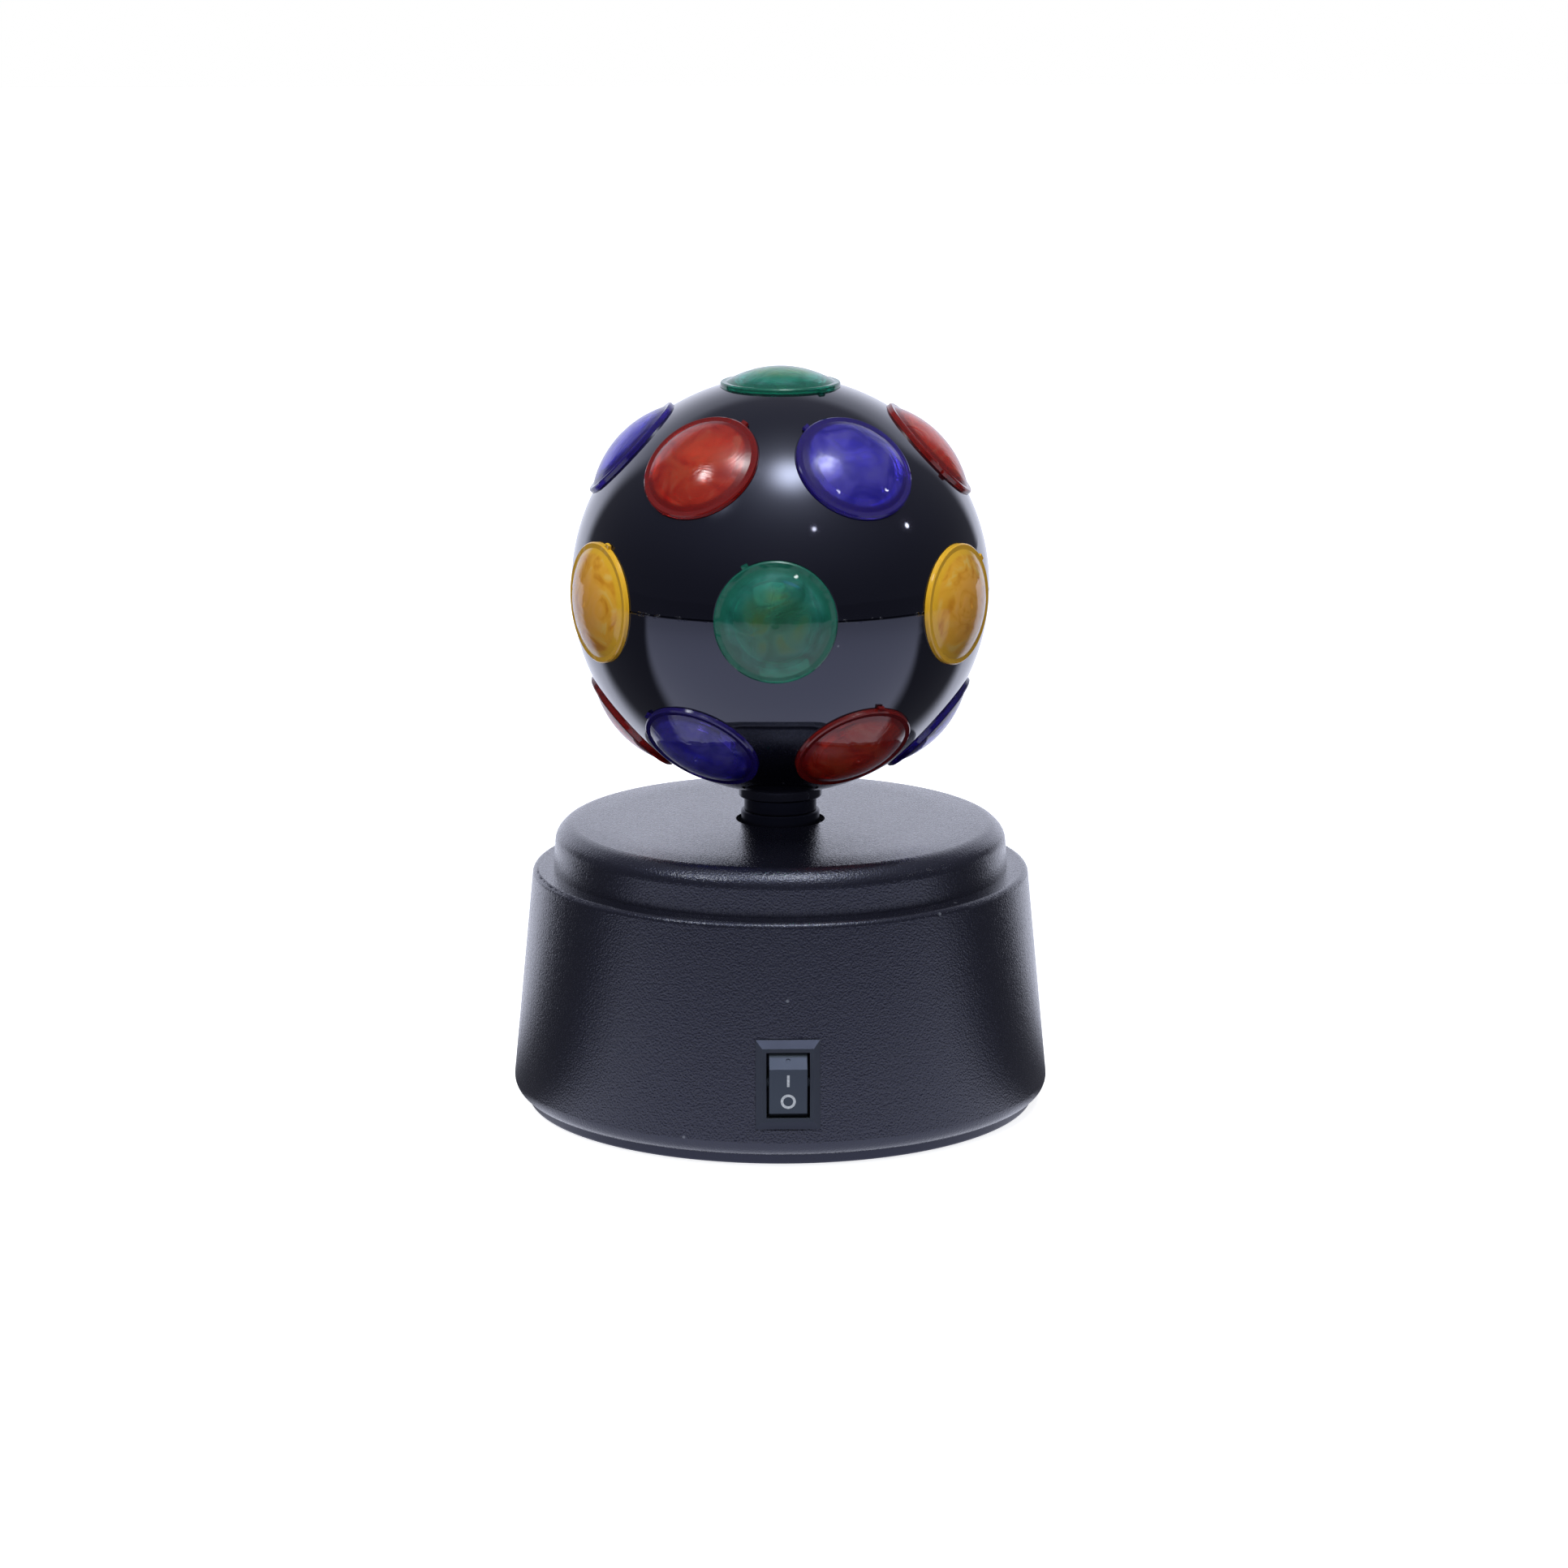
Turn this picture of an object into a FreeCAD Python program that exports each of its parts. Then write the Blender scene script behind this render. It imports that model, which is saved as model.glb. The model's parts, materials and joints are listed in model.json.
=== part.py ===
import FreeCAD, Part
import math
import os

# Mini disco ball lamp: a battery-driven ball with coloured lenses that turns on a round base.
# Millimetres. +Z is up, the origin is on the surface that the feet stand on, under the ball's centre.
# The front, where the rocker switch is, faces -Y. Angles round the lamp start there and grow towards +X.

os.makedirs("parts", exist_ok=True)
V = FreeCAD.Vector
UP = V(0, 0, 1)

# Driving sizes of the outside
ball_radius = 50.0
ball_wall = 2.0
lens_rim_radius = 14.3
body_foot_radius = 65.1
body_shoulder_radius = 59.8
body_height = 54.9
ledge_width = 5.0
cap_height = 11.4
plate_inset = 3.7
plate_thickness = 2.4
foot_proud = 0.8
neck_ring_rise = 2.5
neck_groove_height = 3.2
collar_drop = 1.45
ball_rest_angle = -2.9

# Fits and small clearances shared by many pieces
running_gap = 0.05
fit_gap = 0.1
free_gap = 0.3
overrun = 5.0
round_limit_share = 0.49
lone_round_limit_share = 0.9

# Ball: shells, seam and lens seats
seam_chamfer = 0.3
seam_lip_height = 2.2
seam_lip_thickness = 1.2
lens_hole_radius = 10.7
lens_glue_gap = 0.05
ring_latitude_angle = 43.0
ring_count = 6

# Lens, with the nub that its moulding gate leaves on the rim; shares of a full turn, from the rim's top
lens_rim_edge = 1.2
lens_rim_round = 0.3
lens_dome_radius = 12.9
lens_height = 4.7
lens_thickness = 1.4
lens_spigot_height = 1.2
lens_spigot_wall = 1.2
gate_width = 1.6
gate_reach = 0.9
gate_height = 0.8
gate_turn_shares = {
    "top": [0.62],
    "upper": [0.93, 0.09, 0.31, 0.77, 0.52, 0.15],
    "middle": [0.08, 0.86, 0.4, 0.66, 0.23, 0.95],
    "lower": [0.13, 0.98, 0.55, 0.34, 0.81, 0.47],
}

# Ball neck: collar under the ball, drive sleeve, nut and clip
collar_radius = 10.1
collar_round = 0.5
sleeve_journal_radius = 7.5
sleeve_shoulder = 1.2
sleeve_bore_radius = 5.6
sleeve_spigot_radius = 7.0
inner_boss_radius = 11.5
inner_boss_height = 1.6
nut_height = 2.4
nut_flats = 6
clip_thickness = 0.7
clip_radius = 10.0
clip_groove_depth = 0.6
sleeve_tail = 1.0

# Base body
body_wall = 2.4
body_ledge_round = 1.4
body_foot_round = 3.4
body_inner_round = 1.5
foot_lip_width = 1.9
foot_lip_height = 2.6
post_inset = 9.6
post_radius = 3.6
post_height = 20.0
post_count = 4
rib_thickness = 1.8
lug_inset = 6.5
lug_radius = 4.4
lug_thickness = 2.7
lug_count = 3

# Cap
cap_wall = 2.2
cap_side_draft = 0.5
crown_width = 14.0
crown_drop = 0.5
shoulder_width = 2.7
shoulder_round = 4.4
cap_lip_height = 4.5
cap_lip_thickness = 1.5
cap_lip_root = 2.0
cap_boss_radius = 3.4
hub_wall = 2.6
hub_depth = 5.0
pillar_inset = 7.0
pillar_radius = 3.4
pillar_length = 16.2

# Neck bush: barrel in the cap's hub, flange in the recess and the ring that rises out of it
bush_wall = 1.75
bush_length = 9.0
bush_round = 0.4
bush_flange_thickness = 1.2
neck_ring_step = 0.15
neck_recess_step = 1.45
neck_recess_depth = 2.6

# Gear pair between the motor and the ball
gear_module = 0.8
gear_teeth = 36
pinion_teeth = 16
pressure_angle = 20.0
tooth_backlash = 0.12
gear_mesh_gap = 0.05
root_share = 1.25
gear_face_width = 4.5
gear_hub_radius = 10.8
gear_hub_height = 2.3
pinion_face_width = 6.0
output_shaft_radius = 2.0
shaft_tail = 6.0

# Drive plate that hangs under the cap
drive_plate_gap = 1.1
drive_plate_thickness = 2.4
drive_rim_height = 2.0
drive_rim_width = 2.0
shaft_hole_radius = 4.6
wire_slot_length = 16.0
wire_slot_width = 5.0
wire_slot_radius = 24.0

# Worm gearbox and motor
gearbox_width = 26.0
gearbox_front = 9.0
gearbox_back = 18.0
gearbox_height = 16.9
gearbox_round = 3.0
gearbox_ear_thickness = 2.4
gearbox_ear_reach = 8.0
gearbox_ear_width = 10.0
gearbox_boss_height = 1.6
motor_width = 20.0
motor_height = 15.1
motor_length = 25.0
motor_drop = 1.8
motor_boss_radius = 5.0
motor_boss_length = 1.6

# Lamp on its fixed post
post_tube_radius = 4.0
post_bore_radius = 2.6
post_flange_radius = 6.5
post_flange_thickness = 1.5
socket_radius = 7.0
socket_wall = 1.9
socket_height = 12.0
socket_floor = 3.0
socket_skirt = 5.0
bulb_radius = 6.0
bulb_neck_radius = 4.0
bulb_base_radius = 4.8
bulb_base_height = 10.0
bulb_base_tip = 1.2
bulb_glass_wall = 0.5
bulb_neck_drop = 7.2
filament_radius = 0.35
filament_span = 4.0
filament_lead_radius = 0.25

# Bottom plate, battery bay and door
plate_round = 0.6
plate_lip_height = 2.0
plate_lip_thickness = 1.8
plate_boss_radius = 3.8
plate_boss_height = 2.0
counterbore_depth = 2.2
bay_centre_y = 6.0
bay_wall = 1.8
bay_frame_height = 1.8
bay_frame_margin = 2.2
cell_count = 3
cell_radius = 7.25
cell_length = 50.5
cell_nub_radius = 2.75
cell_nub_height = 1.0
cell_round = 0.6
cell_gap = 0.7
contact_thickness = 0.5
contact_width = 11.0
leaf_width = 6.0
leaf_bow = 2.2
door_thickness = 2.2
door_margin = 2.6
door_pin_radius = 0.7
door_pin_length = 1.6
tongue_width = 12.0
tongue_length = 8.0
tongue_slot = 1.0
thumb_depth = 0.9
foot_radius = 5.0
foot_recess = 1.2
foot_inset = 8.0
foot_round = 0.3
foot_count = 4

# Screws
screw_radius = 1.3
screw_head_radius = 2.6
screw_head_height = 1.7
screw_head_round = 0.8
screw_cross_width = 0.7
screw_cross_length = 3.0
screw_cross_depth = 0.9
base_screw_length = 10.0
cap_screw_length = 9.0
drive_screw_length = 9.0
gearbox_screw_length = 4.4

# Rocker switch in the front wall
switch_height = 20.6
bezel_width = 15.0
bezel_length = 21.0
bezel_edge = 0.5
bezel_rise = 1.5
bezel_bevel_width = 1.5
bezel_bevel_length = 1.9
switch_opening_width = 10.1
switch_opening_length = 15.4
switch_body_width = 12.9
switch_body_length = 19.1
switch_body_depth = 10.5
switch_cavity_length = 16.7
switch_cavity_depth = 9.5
switch_lip_depth = 1.5
barb_width = 6.0
barb_height = 0.8
barb_length = 3.0
barb_gap = 2.6
terminal_width = 4.75
terminal_thickness = 0.8
terminal_length = 7.5
terminal_spacing = 10.0
rocker_width = 8.8
rocker_face_half = 5.5
rocker_face_proud = 1.0
rocker_pivot_depth = 4.5
rocker_end_half = 7.5
rocker_end_depth = 1.5
rocker_skirt_depth = 3.6
rocker_heel_half = 6.0
rocker_heel_depth = 5.0
rocker_hub_half = 1.8
rocker_hub_depth = 7.0
rocker_face_dish = 0.25
rocker_pin_radius = 1.2
rocker_pin_length = 1.3
rocker_half_angle = 13.0
rocker_dimple_radius = 0.5
rocker_dimple_depth = 0.25
rocker_dimple_share = 0.25

# Heights worked out from the driving sizes, from the floor up
plate_bottom_z = foot_proud
plate_top_z = plate_bottom_z + plate_thickness
ledge_z = plate_top_z + body_height
cap_top_z = ledge_z + cap_height
bush_top_z = cap_top_z + neck_ring_rise
sleeve_shoulder_z = bush_top_z + fit_gap
collar_bottom_z = sleeve_shoulder_z + neck_groove_height
ball_z = collar_bottom_z + collar_drop + ball_radius
bush_bottom_z = cap_top_z - bush_length
gear_top_z = bush_bottom_z - fit_gap
gear_bottom_z = gear_top_z - gear_hub_height - gear_face_width
clip_bottom_z = gear_bottom_z - clip_thickness
sleeve_bottom_z = clip_bottom_z - sleeve_tail
drive_top_z = cap_top_z - cap_wall - pillar_length
drive_bottom_z = drive_top_z - drive_plate_thickness

# Sizes worked out from the pieces they fit
ball_centre = V(0, 0, ball_z)
ball_inner_radius = ball_radius - ball_wall
lens_seat_distance = math.sqrt(ball_radius ** 2 - lens_rim_radius ** 2)
collar_bore_radius = sleeve_spigot_radius + running_gap
inner_boss_top_z = ball_z - math.sqrt(ball_inner_radius ** 2 - inner_boss_radius ** 2) + inner_boss_height
sleeve_groove_radius = sleeve_journal_radius + sleeve_shoulder
bush_bore_radius = sleeve_journal_radius + running_gap
bush_radius = bush_bore_radius + bush_wall
neck_ring_radius = bush_radius + neck_ring_step
neck_recess_radius = bush_radius + neck_recess_step
cap_radius = body_shoulder_radius - ledge_width
cap_flat_radius = cap_radius - crown_width
cap_lip_radius = cap_radius - cap_wall + fit_gap
body_opening_radius = cap_lip_radius + fit_gap
body_reach = max(body_foot_radius, body_shoulder_radius)
body_slope = (body_foot_radius - body_shoulder_radius) / body_height
wall_lean = math.degrees(math.atan(body_slope))
foot_lip_radius = body_foot_radius - body_foot_round - foot_lip_width
plate_radius = body_foot_radius - plate_inset
foot_circle_radius = plate_radius - foot_inset
post_circle_radius = body_foot_radius - post_inset
lug_circle_radius = body_opening_radius - lug_inset
drive_plate_radius = lug_circle_radius - lug_radius - drive_plate_gap
pillar_circle_radius = drive_plate_radius - pillar_inset
gear_distance = gear_module * (gear_teeth + pinion_teeth) / 2 + gear_mesh_gap
post_angles = [45 + 360 / post_count * i for i in range(post_count)]
foot_angles = [360 / foot_count * i for i in range(foot_count)]
lug_angles = [180 + 360 / lug_count * i for i in range(lug_count)]
pillar_angles = [360 / lug_count * i for i in range(lug_count)]
bay_half_x = cell_length / 2 + leaf_bow + contact_thickness
bay_half_y = cell_count * (2 * cell_radius + cell_gap) / 2
cell_z = plate_bottom_z + door_thickness + free_gap + cell_radius
bay_roof_z = cell_z + cell_radius + cell_gap
door_half_x = bay_half_x + door_margin
door_axis_y = bay_centre_y - bay_half_y - door_margin
door_axis_z = plate_bottom_z + door_thickness / 2
door_back_y = bay_centre_y + bay_half_y + door_margin
screw_hole_radius = screw_radius + running_gap
screw_pass_radius = screw_radius + fit_gap


def around(radius, angle, z=0):
    """A place at an angle round the lamp, counted from the front towards +X."""
    turn = math.radians(angle)
    return V(radius * math.sin(turn), -radius * math.cos(turn), z)


def wall_radius(z):
    """Outer radius of the tapered body at a height."""
    return body_foot_radius - (z - plate_top_z) * body_slope


def round_share(next_radius):
    """Share of an edge that a rounding may take: under half where the next corner is rounded too."""
    return round_limit_share if next_radius > 0 else lone_round_limit_share


def rounded_wire(corners):
    """Closed wire through (point, radius) corners; a radius above zero rounds its corner."""
    runs = []
    for i, (corner, radius) in enumerate(corners):
        last, last_radius = corners[i - 1]
        following, following_radius = corners[(i + 1) % len(corners)]
        before = last - corner
        after = following - corner
        if radius == 0:
            runs.append((corner, None, corner))
            continue
        half = before.getAngle(after) / 2
        limit = min(round_share(last_radius) * before.Length, round_share(following_radius) * after.Length)
        reach = min(radius / math.tan(half), limit)
        radius = reach * math.tan(half)
        before.normalize()
        after.normalize()
        inward = (before + after).normalize()
        middle = corner + inward * (radius / math.sin(half) - radius)
        runs.append((corner + before * reach, middle, corner + after * reach))
    edges = []
    for i, (start, middle, end) in enumerate(runs):
        edges.append(Part.LineSegment(runs[i - 1][2], start).toShape())
        if middle:
            edges.append(Part.Arc(start, middle, end).toShape())
    return Part.Wire(edges)


def turned(outline):
    """Solid of revolution about Z from (radius, height) or (radius, height, rounding) corners."""
    corners = [(V(c[0], 0, c[1]), c[2] if len(c) > 2 else 0) for c in outline]
    return Part.Face(rounded_wire(corners)).revolve(V(0, 0, 0), UP, 360)


def turned_edges(edges):
    """Solid of revolution about Z from edges that close a loop in the X-Z plane."""
    return Part.Face(Part.Wire(edges)).revolve(V(0, 0, 0), UP, 360)


def line(start, end):
    """Straight edge between two (radius, height) points."""
    return Part.LineSegment(V(start[0], 0, start[1]), V(end[0], 0, end[1])).toShape()


def arc(start, middle, end):
    """Round edge through three (radius, height) points."""
    return Part.Arc(*[V(p[0], 0, p[1]) for p in (start, middle, end)]).toShape()


def rod(radius, z_low, z_high, place=V(0, 0, 0)):
    """Upright cylinder between two heights, at a place in plan."""
    return Part.makeCylinder(radius, z_high - z_low, V(place.x, place.y, z_low))


def ring(outer, inner, z_low, z_high):
    """Upright tube between two heights on the lamp's axis."""
    return rod(outer, z_low, z_high).cut(rod(inner, z_low - overrun, z_high + overrun))


def block(x_low, x_high, y_low, y_high, z_low, z_high):
    """Box between two corners."""
    return Part.makeBox(x_high - x_low, y_high - y_low, z_high - z_low, V(x_low, y_low, z_low))


def rounded_block(x_low, x_high, y_low, y_high, z_low, z_high, radius):
    """Box with its four upright edges rounded."""
    plan = [(x_low, y_low), (x_high, y_low), (x_high, y_high), (x_low, y_high)]
    wire = rounded_wire([(V(x, y, z_low), radius) for x, y in plan])
    return Part.Face(wire).extrude(UP * (z_high - z_low))


def fused(first, others):
    """One solid from pieces that run into each other."""
    return first.fuse(others).removeSplitter()


def write(name, solids):
    """Write one sub-part, from one solid or a list of separate ones."""
    shape = Part.makeCompound(solids) if isinstance(solids, list) else solids
    shape.exportStep("parts/" + name + ".step")


def sphere_point(radius, latitude):
    """(radius, height) of a point on a sphere about the ball's centre."""
    turn = math.radians(latitude)
    return radius * math.cos(turn), ball_z + radius * math.sin(turn)


def lens_places():
    """Name, outward direction, angle round the lamp and gate angle of every lens, from the top ring down."""
    step = 360 / ring_count
    rows = [("upper", ring_latitude_angle, -step / 2), ("middle", 0, 0),
            ("lower", -ring_latitude_angle, -step / 2)]
    places = [("lens_top", UP, ball_rest_angle, 360 * gate_turn_shares["top"][0])]
    for row, latitude, start in rows:
        for i in range(ring_count):
            angle = start + step * i + ball_rest_angle
            flat = around(1, angle)
            lift = math.radians(latitude)
            direction = V(flat.x * math.cos(lift), flat.y * math.cos(lift), math.sin(lift))
            share = gate_turn_shares[row][i % len(gate_turn_shares[row])]
            places.append(("lens_" + row + "_" + str(i + 1), direction, angle, 360 * share))
    return places


def lens_seat_cutters():
    """Holes for the lenses' spigots and the flats that their rims are glued to."""
    cutters = []
    for name, direction, angle, gate_angle in lens_places():
        seat = ball_centre + direction * lens_seat_distance
        hole = Part.makeCylinder(lens_hole_radius, overrun * 2, seat - direction * overrun, direction)
        glued = seat - direction * lens_glue_gap
        flat = Part.makeCylinder(lens_rim_radius + free_gap, overrun, glued, direction)
        cutters.append(hole.fuse(flat))
    return cutters


def half_skin(sign, inner_lift):
    """Edges from the seam's bevel over the pole above (+1) or below (-1) to the inner side, and both ends."""
    seam = (ball_radius - seam_chamfer, ball_z)
    bevel_lift = math.degrees(math.asin(seam_chamfer / ball_radius))
    outside = [sphere_point(ball_radius, sign * a) for a in (bevel_lift, 45, 90)]
    inside = [sphere_point(ball_inner_radius, sign * a) for a in (90, 45, inner_lift)]
    edges = [line(seam, outside[0]), arc(*outside), line(outside[2], inside[0]), arc(*inside)]
    return edges, seam, inside[2]


def ball_upper_shell():
    """Upper half of the ball with the seats of its lenses."""
    edges, seam, inner_end = half_skin(1, 0)
    return turned_edges(edges + [line(inner_end, seam)]).cut(lens_seat_cutters())


def lower_half():
    """Lower half of the ball's hollow shell, with the lip that locates it in the upper half."""
    lip_outer = ball_inner_radius - fit_gap
    lip_inner = lip_outer - seam_lip_thickness
    lip_top_z = ball_z + seam_lip_height
    root_lift = math.degrees(math.asin(seam_lip_height / ball_inner_radius))
    edges, seam, root = half_skin(-1, root_lift)
    points = [
        root,
        (lip_inner, root[1]),
        (lip_inner, lip_top_z - seam_chamfer),
        (lip_inner + seam_chamfer, lip_top_z),
        (lip_outer - seam_chamfer, lip_top_z),
        (lip_outer, lip_top_z - seam_chamfer),
        (lip_outer, ball_z),
        seam,
    ]
    edges += [line(start, end) for start, end in zip(points, points[1:])]
    return turned_edges(edges)


def ball_lower_shell():
    """Lower half with its locating lip at the seam and the collar that the neck is fixed in."""
    collar_top_z = ball_z - math.sqrt(ball_radius ** 2 - collar_radius ** 2) + ball_wall / 2
    collar = turned([
        (0, collar_bottom_z),
        (collar_radius, collar_bottom_z, collar_round),
        (collar_radius, collar_top_z),
        (0, collar_top_z),
    ])
    boss_foot_z = ball_z - math.sqrt(ball_inner_radius ** 2 - inner_boss_radius ** 2) - ball_wall / 2
    boss = rod(inner_boss_radius, boss_foot_z, inner_boss_top_z)
    shell = fused(lower_half(), [collar, boss])
    bore = rod(collar_bore_radius, collar_bottom_z - overrun, inner_boss_top_z + overrun)
    return shell.cut(lens_seat_cutters() + [bore])


def lens(direction, angle, gate_angle):
    """Domed lens with a flat rim, a spigot and its gate's nub, standing on its seat."""
    dome_rise = lens_height - lens_rim_edge
    outer_bend = (lens_dome_radius ** 2 + dome_rise ** 2) / (2 * dome_rise)
    centre_z = lens_height - outer_bend
    inner_bend = outer_bend - lens_thickness
    spigot_radius = lens_hole_radius - fit_gap
    spigot_bore = spigot_radius - lens_spigot_wall
    outer_half = math.asin(lens_dome_radius / outer_bend) / 2
    inner_half = math.asin(spigot_bore / inner_bend) / 2
    inner_edge_z = centre_z + inner_bend * math.cos(2 * inner_half)
    outer_mid = (outer_bend * math.sin(outer_half), centre_z + outer_bend * math.cos(outer_half))
    inner_mid = (inner_bend * math.sin(inner_half), centre_z + inner_bend * math.cos(inner_half))
    rim_top = (lens_rim_radius - lens_rim_round, lens_rim_edge)
    edges = [
        line((0, centre_z + inner_bend), (0, lens_height)),
        arc((0, lens_height), outer_mid, (lens_dome_radius, lens_rim_edge)),
        line((lens_dome_radius, lens_rim_edge), rim_top),
        line(rim_top, (lens_rim_radius, lens_rim_edge - lens_rim_round)),
        line((lens_rim_radius, lens_rim_edge - lens_rim_round), (lens_rim_radius, 0)),
        line((lens_rim_radius, 0), (spigot_radius, 0)),
        line((spigot_radius, 0), (spigot_radius, -lens_spigot_height)),
        line((spigot_radius, -lens_spigot_height), (spigot_bore, -lens_spigot_height)),
        line((spigot_bore, -lens_spigot_height), (spigot_bore, inner_edge_z)),
        arc((spigot_bore, inner_edge_z), inner_mid, (0, centre_z + inner_bend)),
    ]
    gate = block(-gate_width / 2, gate_width / 2, -lens_rim_radius - gate_reach, -lens_dome_radius,
                 0, gate_height)
    gate.rotate(V(0, 0, 0), UP, angle + 180 + gate_angle)
    solid = fused(turned_edges(edges), [gate])
    seat = ball_centre + direction * lens_seat_distance
    solid.Placement = FreeCAD.Placement(seat, FreeCAD.Rotation(UP, direction))
    return solid


def ball_neck():
    """Drive sleeve: spigot in the ball's collar, shoulder on the bush, journal and clip groove."""
    spigot_top_z = inner_boss_top_z + nut_height + free_gap
    groove_radius = sleeve_journal_radius - clip_groove_depth
    return turned([
        (sleeve_bore_radius, sleeve_bottom_z),
        (sleeve_journal_radius, sleeve_bottom_z, free_gap),
        (sleeve_journal_radius, clip_bottom_z),
        (groove_radius, clip_bottom_z),
        (groove_radius, gear_bottom_z),
        (sleeve_journal_radius, gear_bottom_z),
        (sleeve_journal_radius, sleeve_shoulder_z),
        (sleeve_groove_radius, sleeve_shoulder_z),
        (sleeve_groove_radius, collar_bottom_z),
        (sleeve_spigot_radius, collar_bottom_z),
        (sleeve_spigot_radius, spigot_top_z, free_gap),
        (sleeve_bore_radius, spigot_top_z),
    ])


def neck_nut():
    """Six-sided nut that clamps the ball's lower shell on the neck."""
    across = inner_boss_radius / math.cos(math.pi / nut_flats)
    corners = [around(across, 360 / nut_flats * i, inner_boss_top_z) for i in range(nut_flats)]
    plate = Part.Face(Part.makePolygon(corners + corners[:1])).extrude(UP * nut_height)
    crown = turned([
        (0, inner_boss_top_z),
        (across, inner_boss_top_z),
        (across, inner_boss_top_z + nut_height / 2),
        (inner_boss_radius, inner_boss_top_z + nut_height),
        (0, inner_boss_top_z + nut_height),
    ])
    hole = rod(collar_bore_radius, inner_boss_top_z - overrun, inner_boss_top_z + nut_height + overrun)
    return plate.common(crown).cut(hole)


def neck_clip():
    """Open retaining clip in the sleeve's groove, under the gear."""
    inner = sleeve_journal_radius - clip_groove_depth + running_gap
    clip = ring(clip_radius, inner, clip_bottom_z + running_gap, gear_bottom_z - running_gap)
    slot = block(-inner / 2, inner / 2, 0, clip_radius + overrun, clip_bottom_z - overrun, gear_bottom_z)
    return clip.cut(slot)


def tooth_half_angle(radius, pitch_radius, teeth):
    """Half of a tooth's angle at a radius, on involute flanks with backlash."""
    base = pitch_radius * math.cos(math.radians(pressure_angle))
    at_pitch = math.tan(math.radians(pressure_angle)) - math.radians(pressure_angle)
    lean = math.acos(min(1, base / radius))
    at_radius = math.tan(lean) - lean
    return math.pi / (2 * teeth) - tooth_backlash / (2 * pitch_radius) + at_pitch - at_radius


def gear_blank(teeth, first_angle, z_low, z_high):
    """Spur gear with involute teeth on the Z axis; one tooth points at first_angle."""
    pitch_radius = gear_module * teeth / 2
    base = pitch_radius * math.cos(math.radians(pressure_angle))
    tip = pitch_radius + gear_module
    root = pitch_radius - root_share * gear_module
    foot = max(base, root)
    radii = (foot, (foot + tip) / 2, tip)
    halves = [tooth_half_angle(r, pitch_radius, teeth) for r in radii]

    def point(radius, angle):
        return V(radius * math.cos(angle), radius * math.sin(angle), z_low)

    edges = []
    last = None
    for i in range(teeth):
        middle = math.radians(first_angle) + 2 * math.pi * i / teeth
        rising = [point(r, middle - h) for r, h in zip(radii, halves)]
        falling = [point(r, middle + h) for r, h in zip(radii, halves)][::-1]
        root_in = point(root, middle - halves[0])
        root_out = point(root, middle + halves[0])
        if last:
            edges.append(Part.LineSegment(last, root_in).toShape())
        else:
            first = root_in
        if foot > root:
            edges.append(Part.LineSegment(root_in, rising[0]).toShape())
        edges.append(Part.Arc(*rising).toShape())
        edges.append(Part.LineSegment(rising[2], falling[0]).toShape())
        edges.append(Part.Arc(*falling).toShape())
        if foot > root:
            edges.append(Part.LineSegment(falling[2], root_out).toShape())
        last = root_out
    edges.append(Part.LineSegment(last, first).toShape())
    return Part.Face(Part.Wire(edges)).extrude(UP * (z_high - z_low))


def ball_gear():
    """Gear on the sleeve, with a hub that runs under the bush."""
    teeth = gear_blank(gear_teeth, 90, gear_bottom_z, gear_bottom_z + gear_face_width)
    hub = rod(gear_hub_radius, gear_bottom_z, gear_top_z)
    bore = rod(bush_bore_radius, gear_bottom_z - overrun, gear_top_z + overrun)
    return fused(teeth, [hub]).cut(bore)


def drive_pinion():
    """Pinion in mesh with the ball's gear, behind it."""
    low = gear_bottom_z - (pinion_face_width - gear_face_width) / 2
    pinion = gear_blank(pinion_teeth, 90 + 180 / pinion_teeth, low, low + pinion_face_width)
    pinion.translate(V(0, gear_distance, 0))
    bore = rod(output_shaft_radius + running_gap, low - overrun, low + pinion_face_width + overrun,
               V(0, gear_distance, 0))
    return pinion.cut(bore)


def output_shaft():
    """Gearbox shaft that carries the pinion."""
    top = gear_bottom_z + pinion_face_width
    shaft = turned([
        (0, drive_bottom_z - shaft_tail),
        (output_shaft_radius, drive_bottom_z - shaft_tail, free_gap),
        (output_shaft_radius, top, free_gap),
        (0, top),
    ])
    shaft.translate(V(0, gear_distance, 0))
    return shaft


def body_envelope(inset):
    """Tapered solid that lies inside the body's outer wall by inset."""
    return turned([
        (0, plate_top_z),
        (body_foot_radius - inset, plate_top_z),
        (body_shoulder_radius - inset, ledge_z),
        (0, ledge_z),
    ])


def body_post(angle):
    """Screw post for the bottom plate, tied to the wall by a rib."""
    low = plate_top_z + plate_boss_height + fit_gap
    high = low + post_height
    post = rod(post_radius, low, high, around(post_circle_radius, angle))
    rib = block(-rib_thickness / 2, rib_thickness / 2, -body_reach, -post_circle_radius, low, high)
    rib.rotate(V(0, 0, 0), UP, angle)
    return post.fuse(rib)


def body_lug(angle):
    """Ear under the ledge that the cap is screwed to."""
    high = ledge_z - cap_lip_height - free_gap
    low = high - lug_thickness
    ear = rod(lug_radius, low, high, around(lug_circle_radius, angle))
    arm = block(-lug_radius, lug_radius, -body_reach, -lug_circle_radius, low, high)
    arm.rotate(V(0, 0, 0), UP, angle)
    return ear.fuse(arm)


def switch_placed(shape):
    """Moves a shape from the switch's own frame, origin on its seat and -Y outwards, into the wall."""
    shape.rotate(V(0, 0, 0), V(1, 0, 0), -wall_lean)
    shape.translate(V(0, -switch_seat_radius(), switch_height))
    return shape


def switch_seat_radius():
    """Distance from the lamp's axis to the flat that the bezel is seated on."""
    outer = wall_radius(switch_height)
    half = bezel_width / 2 + free_gap
    return math.sqrt(outer ** 2 - half ** 2)


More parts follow.
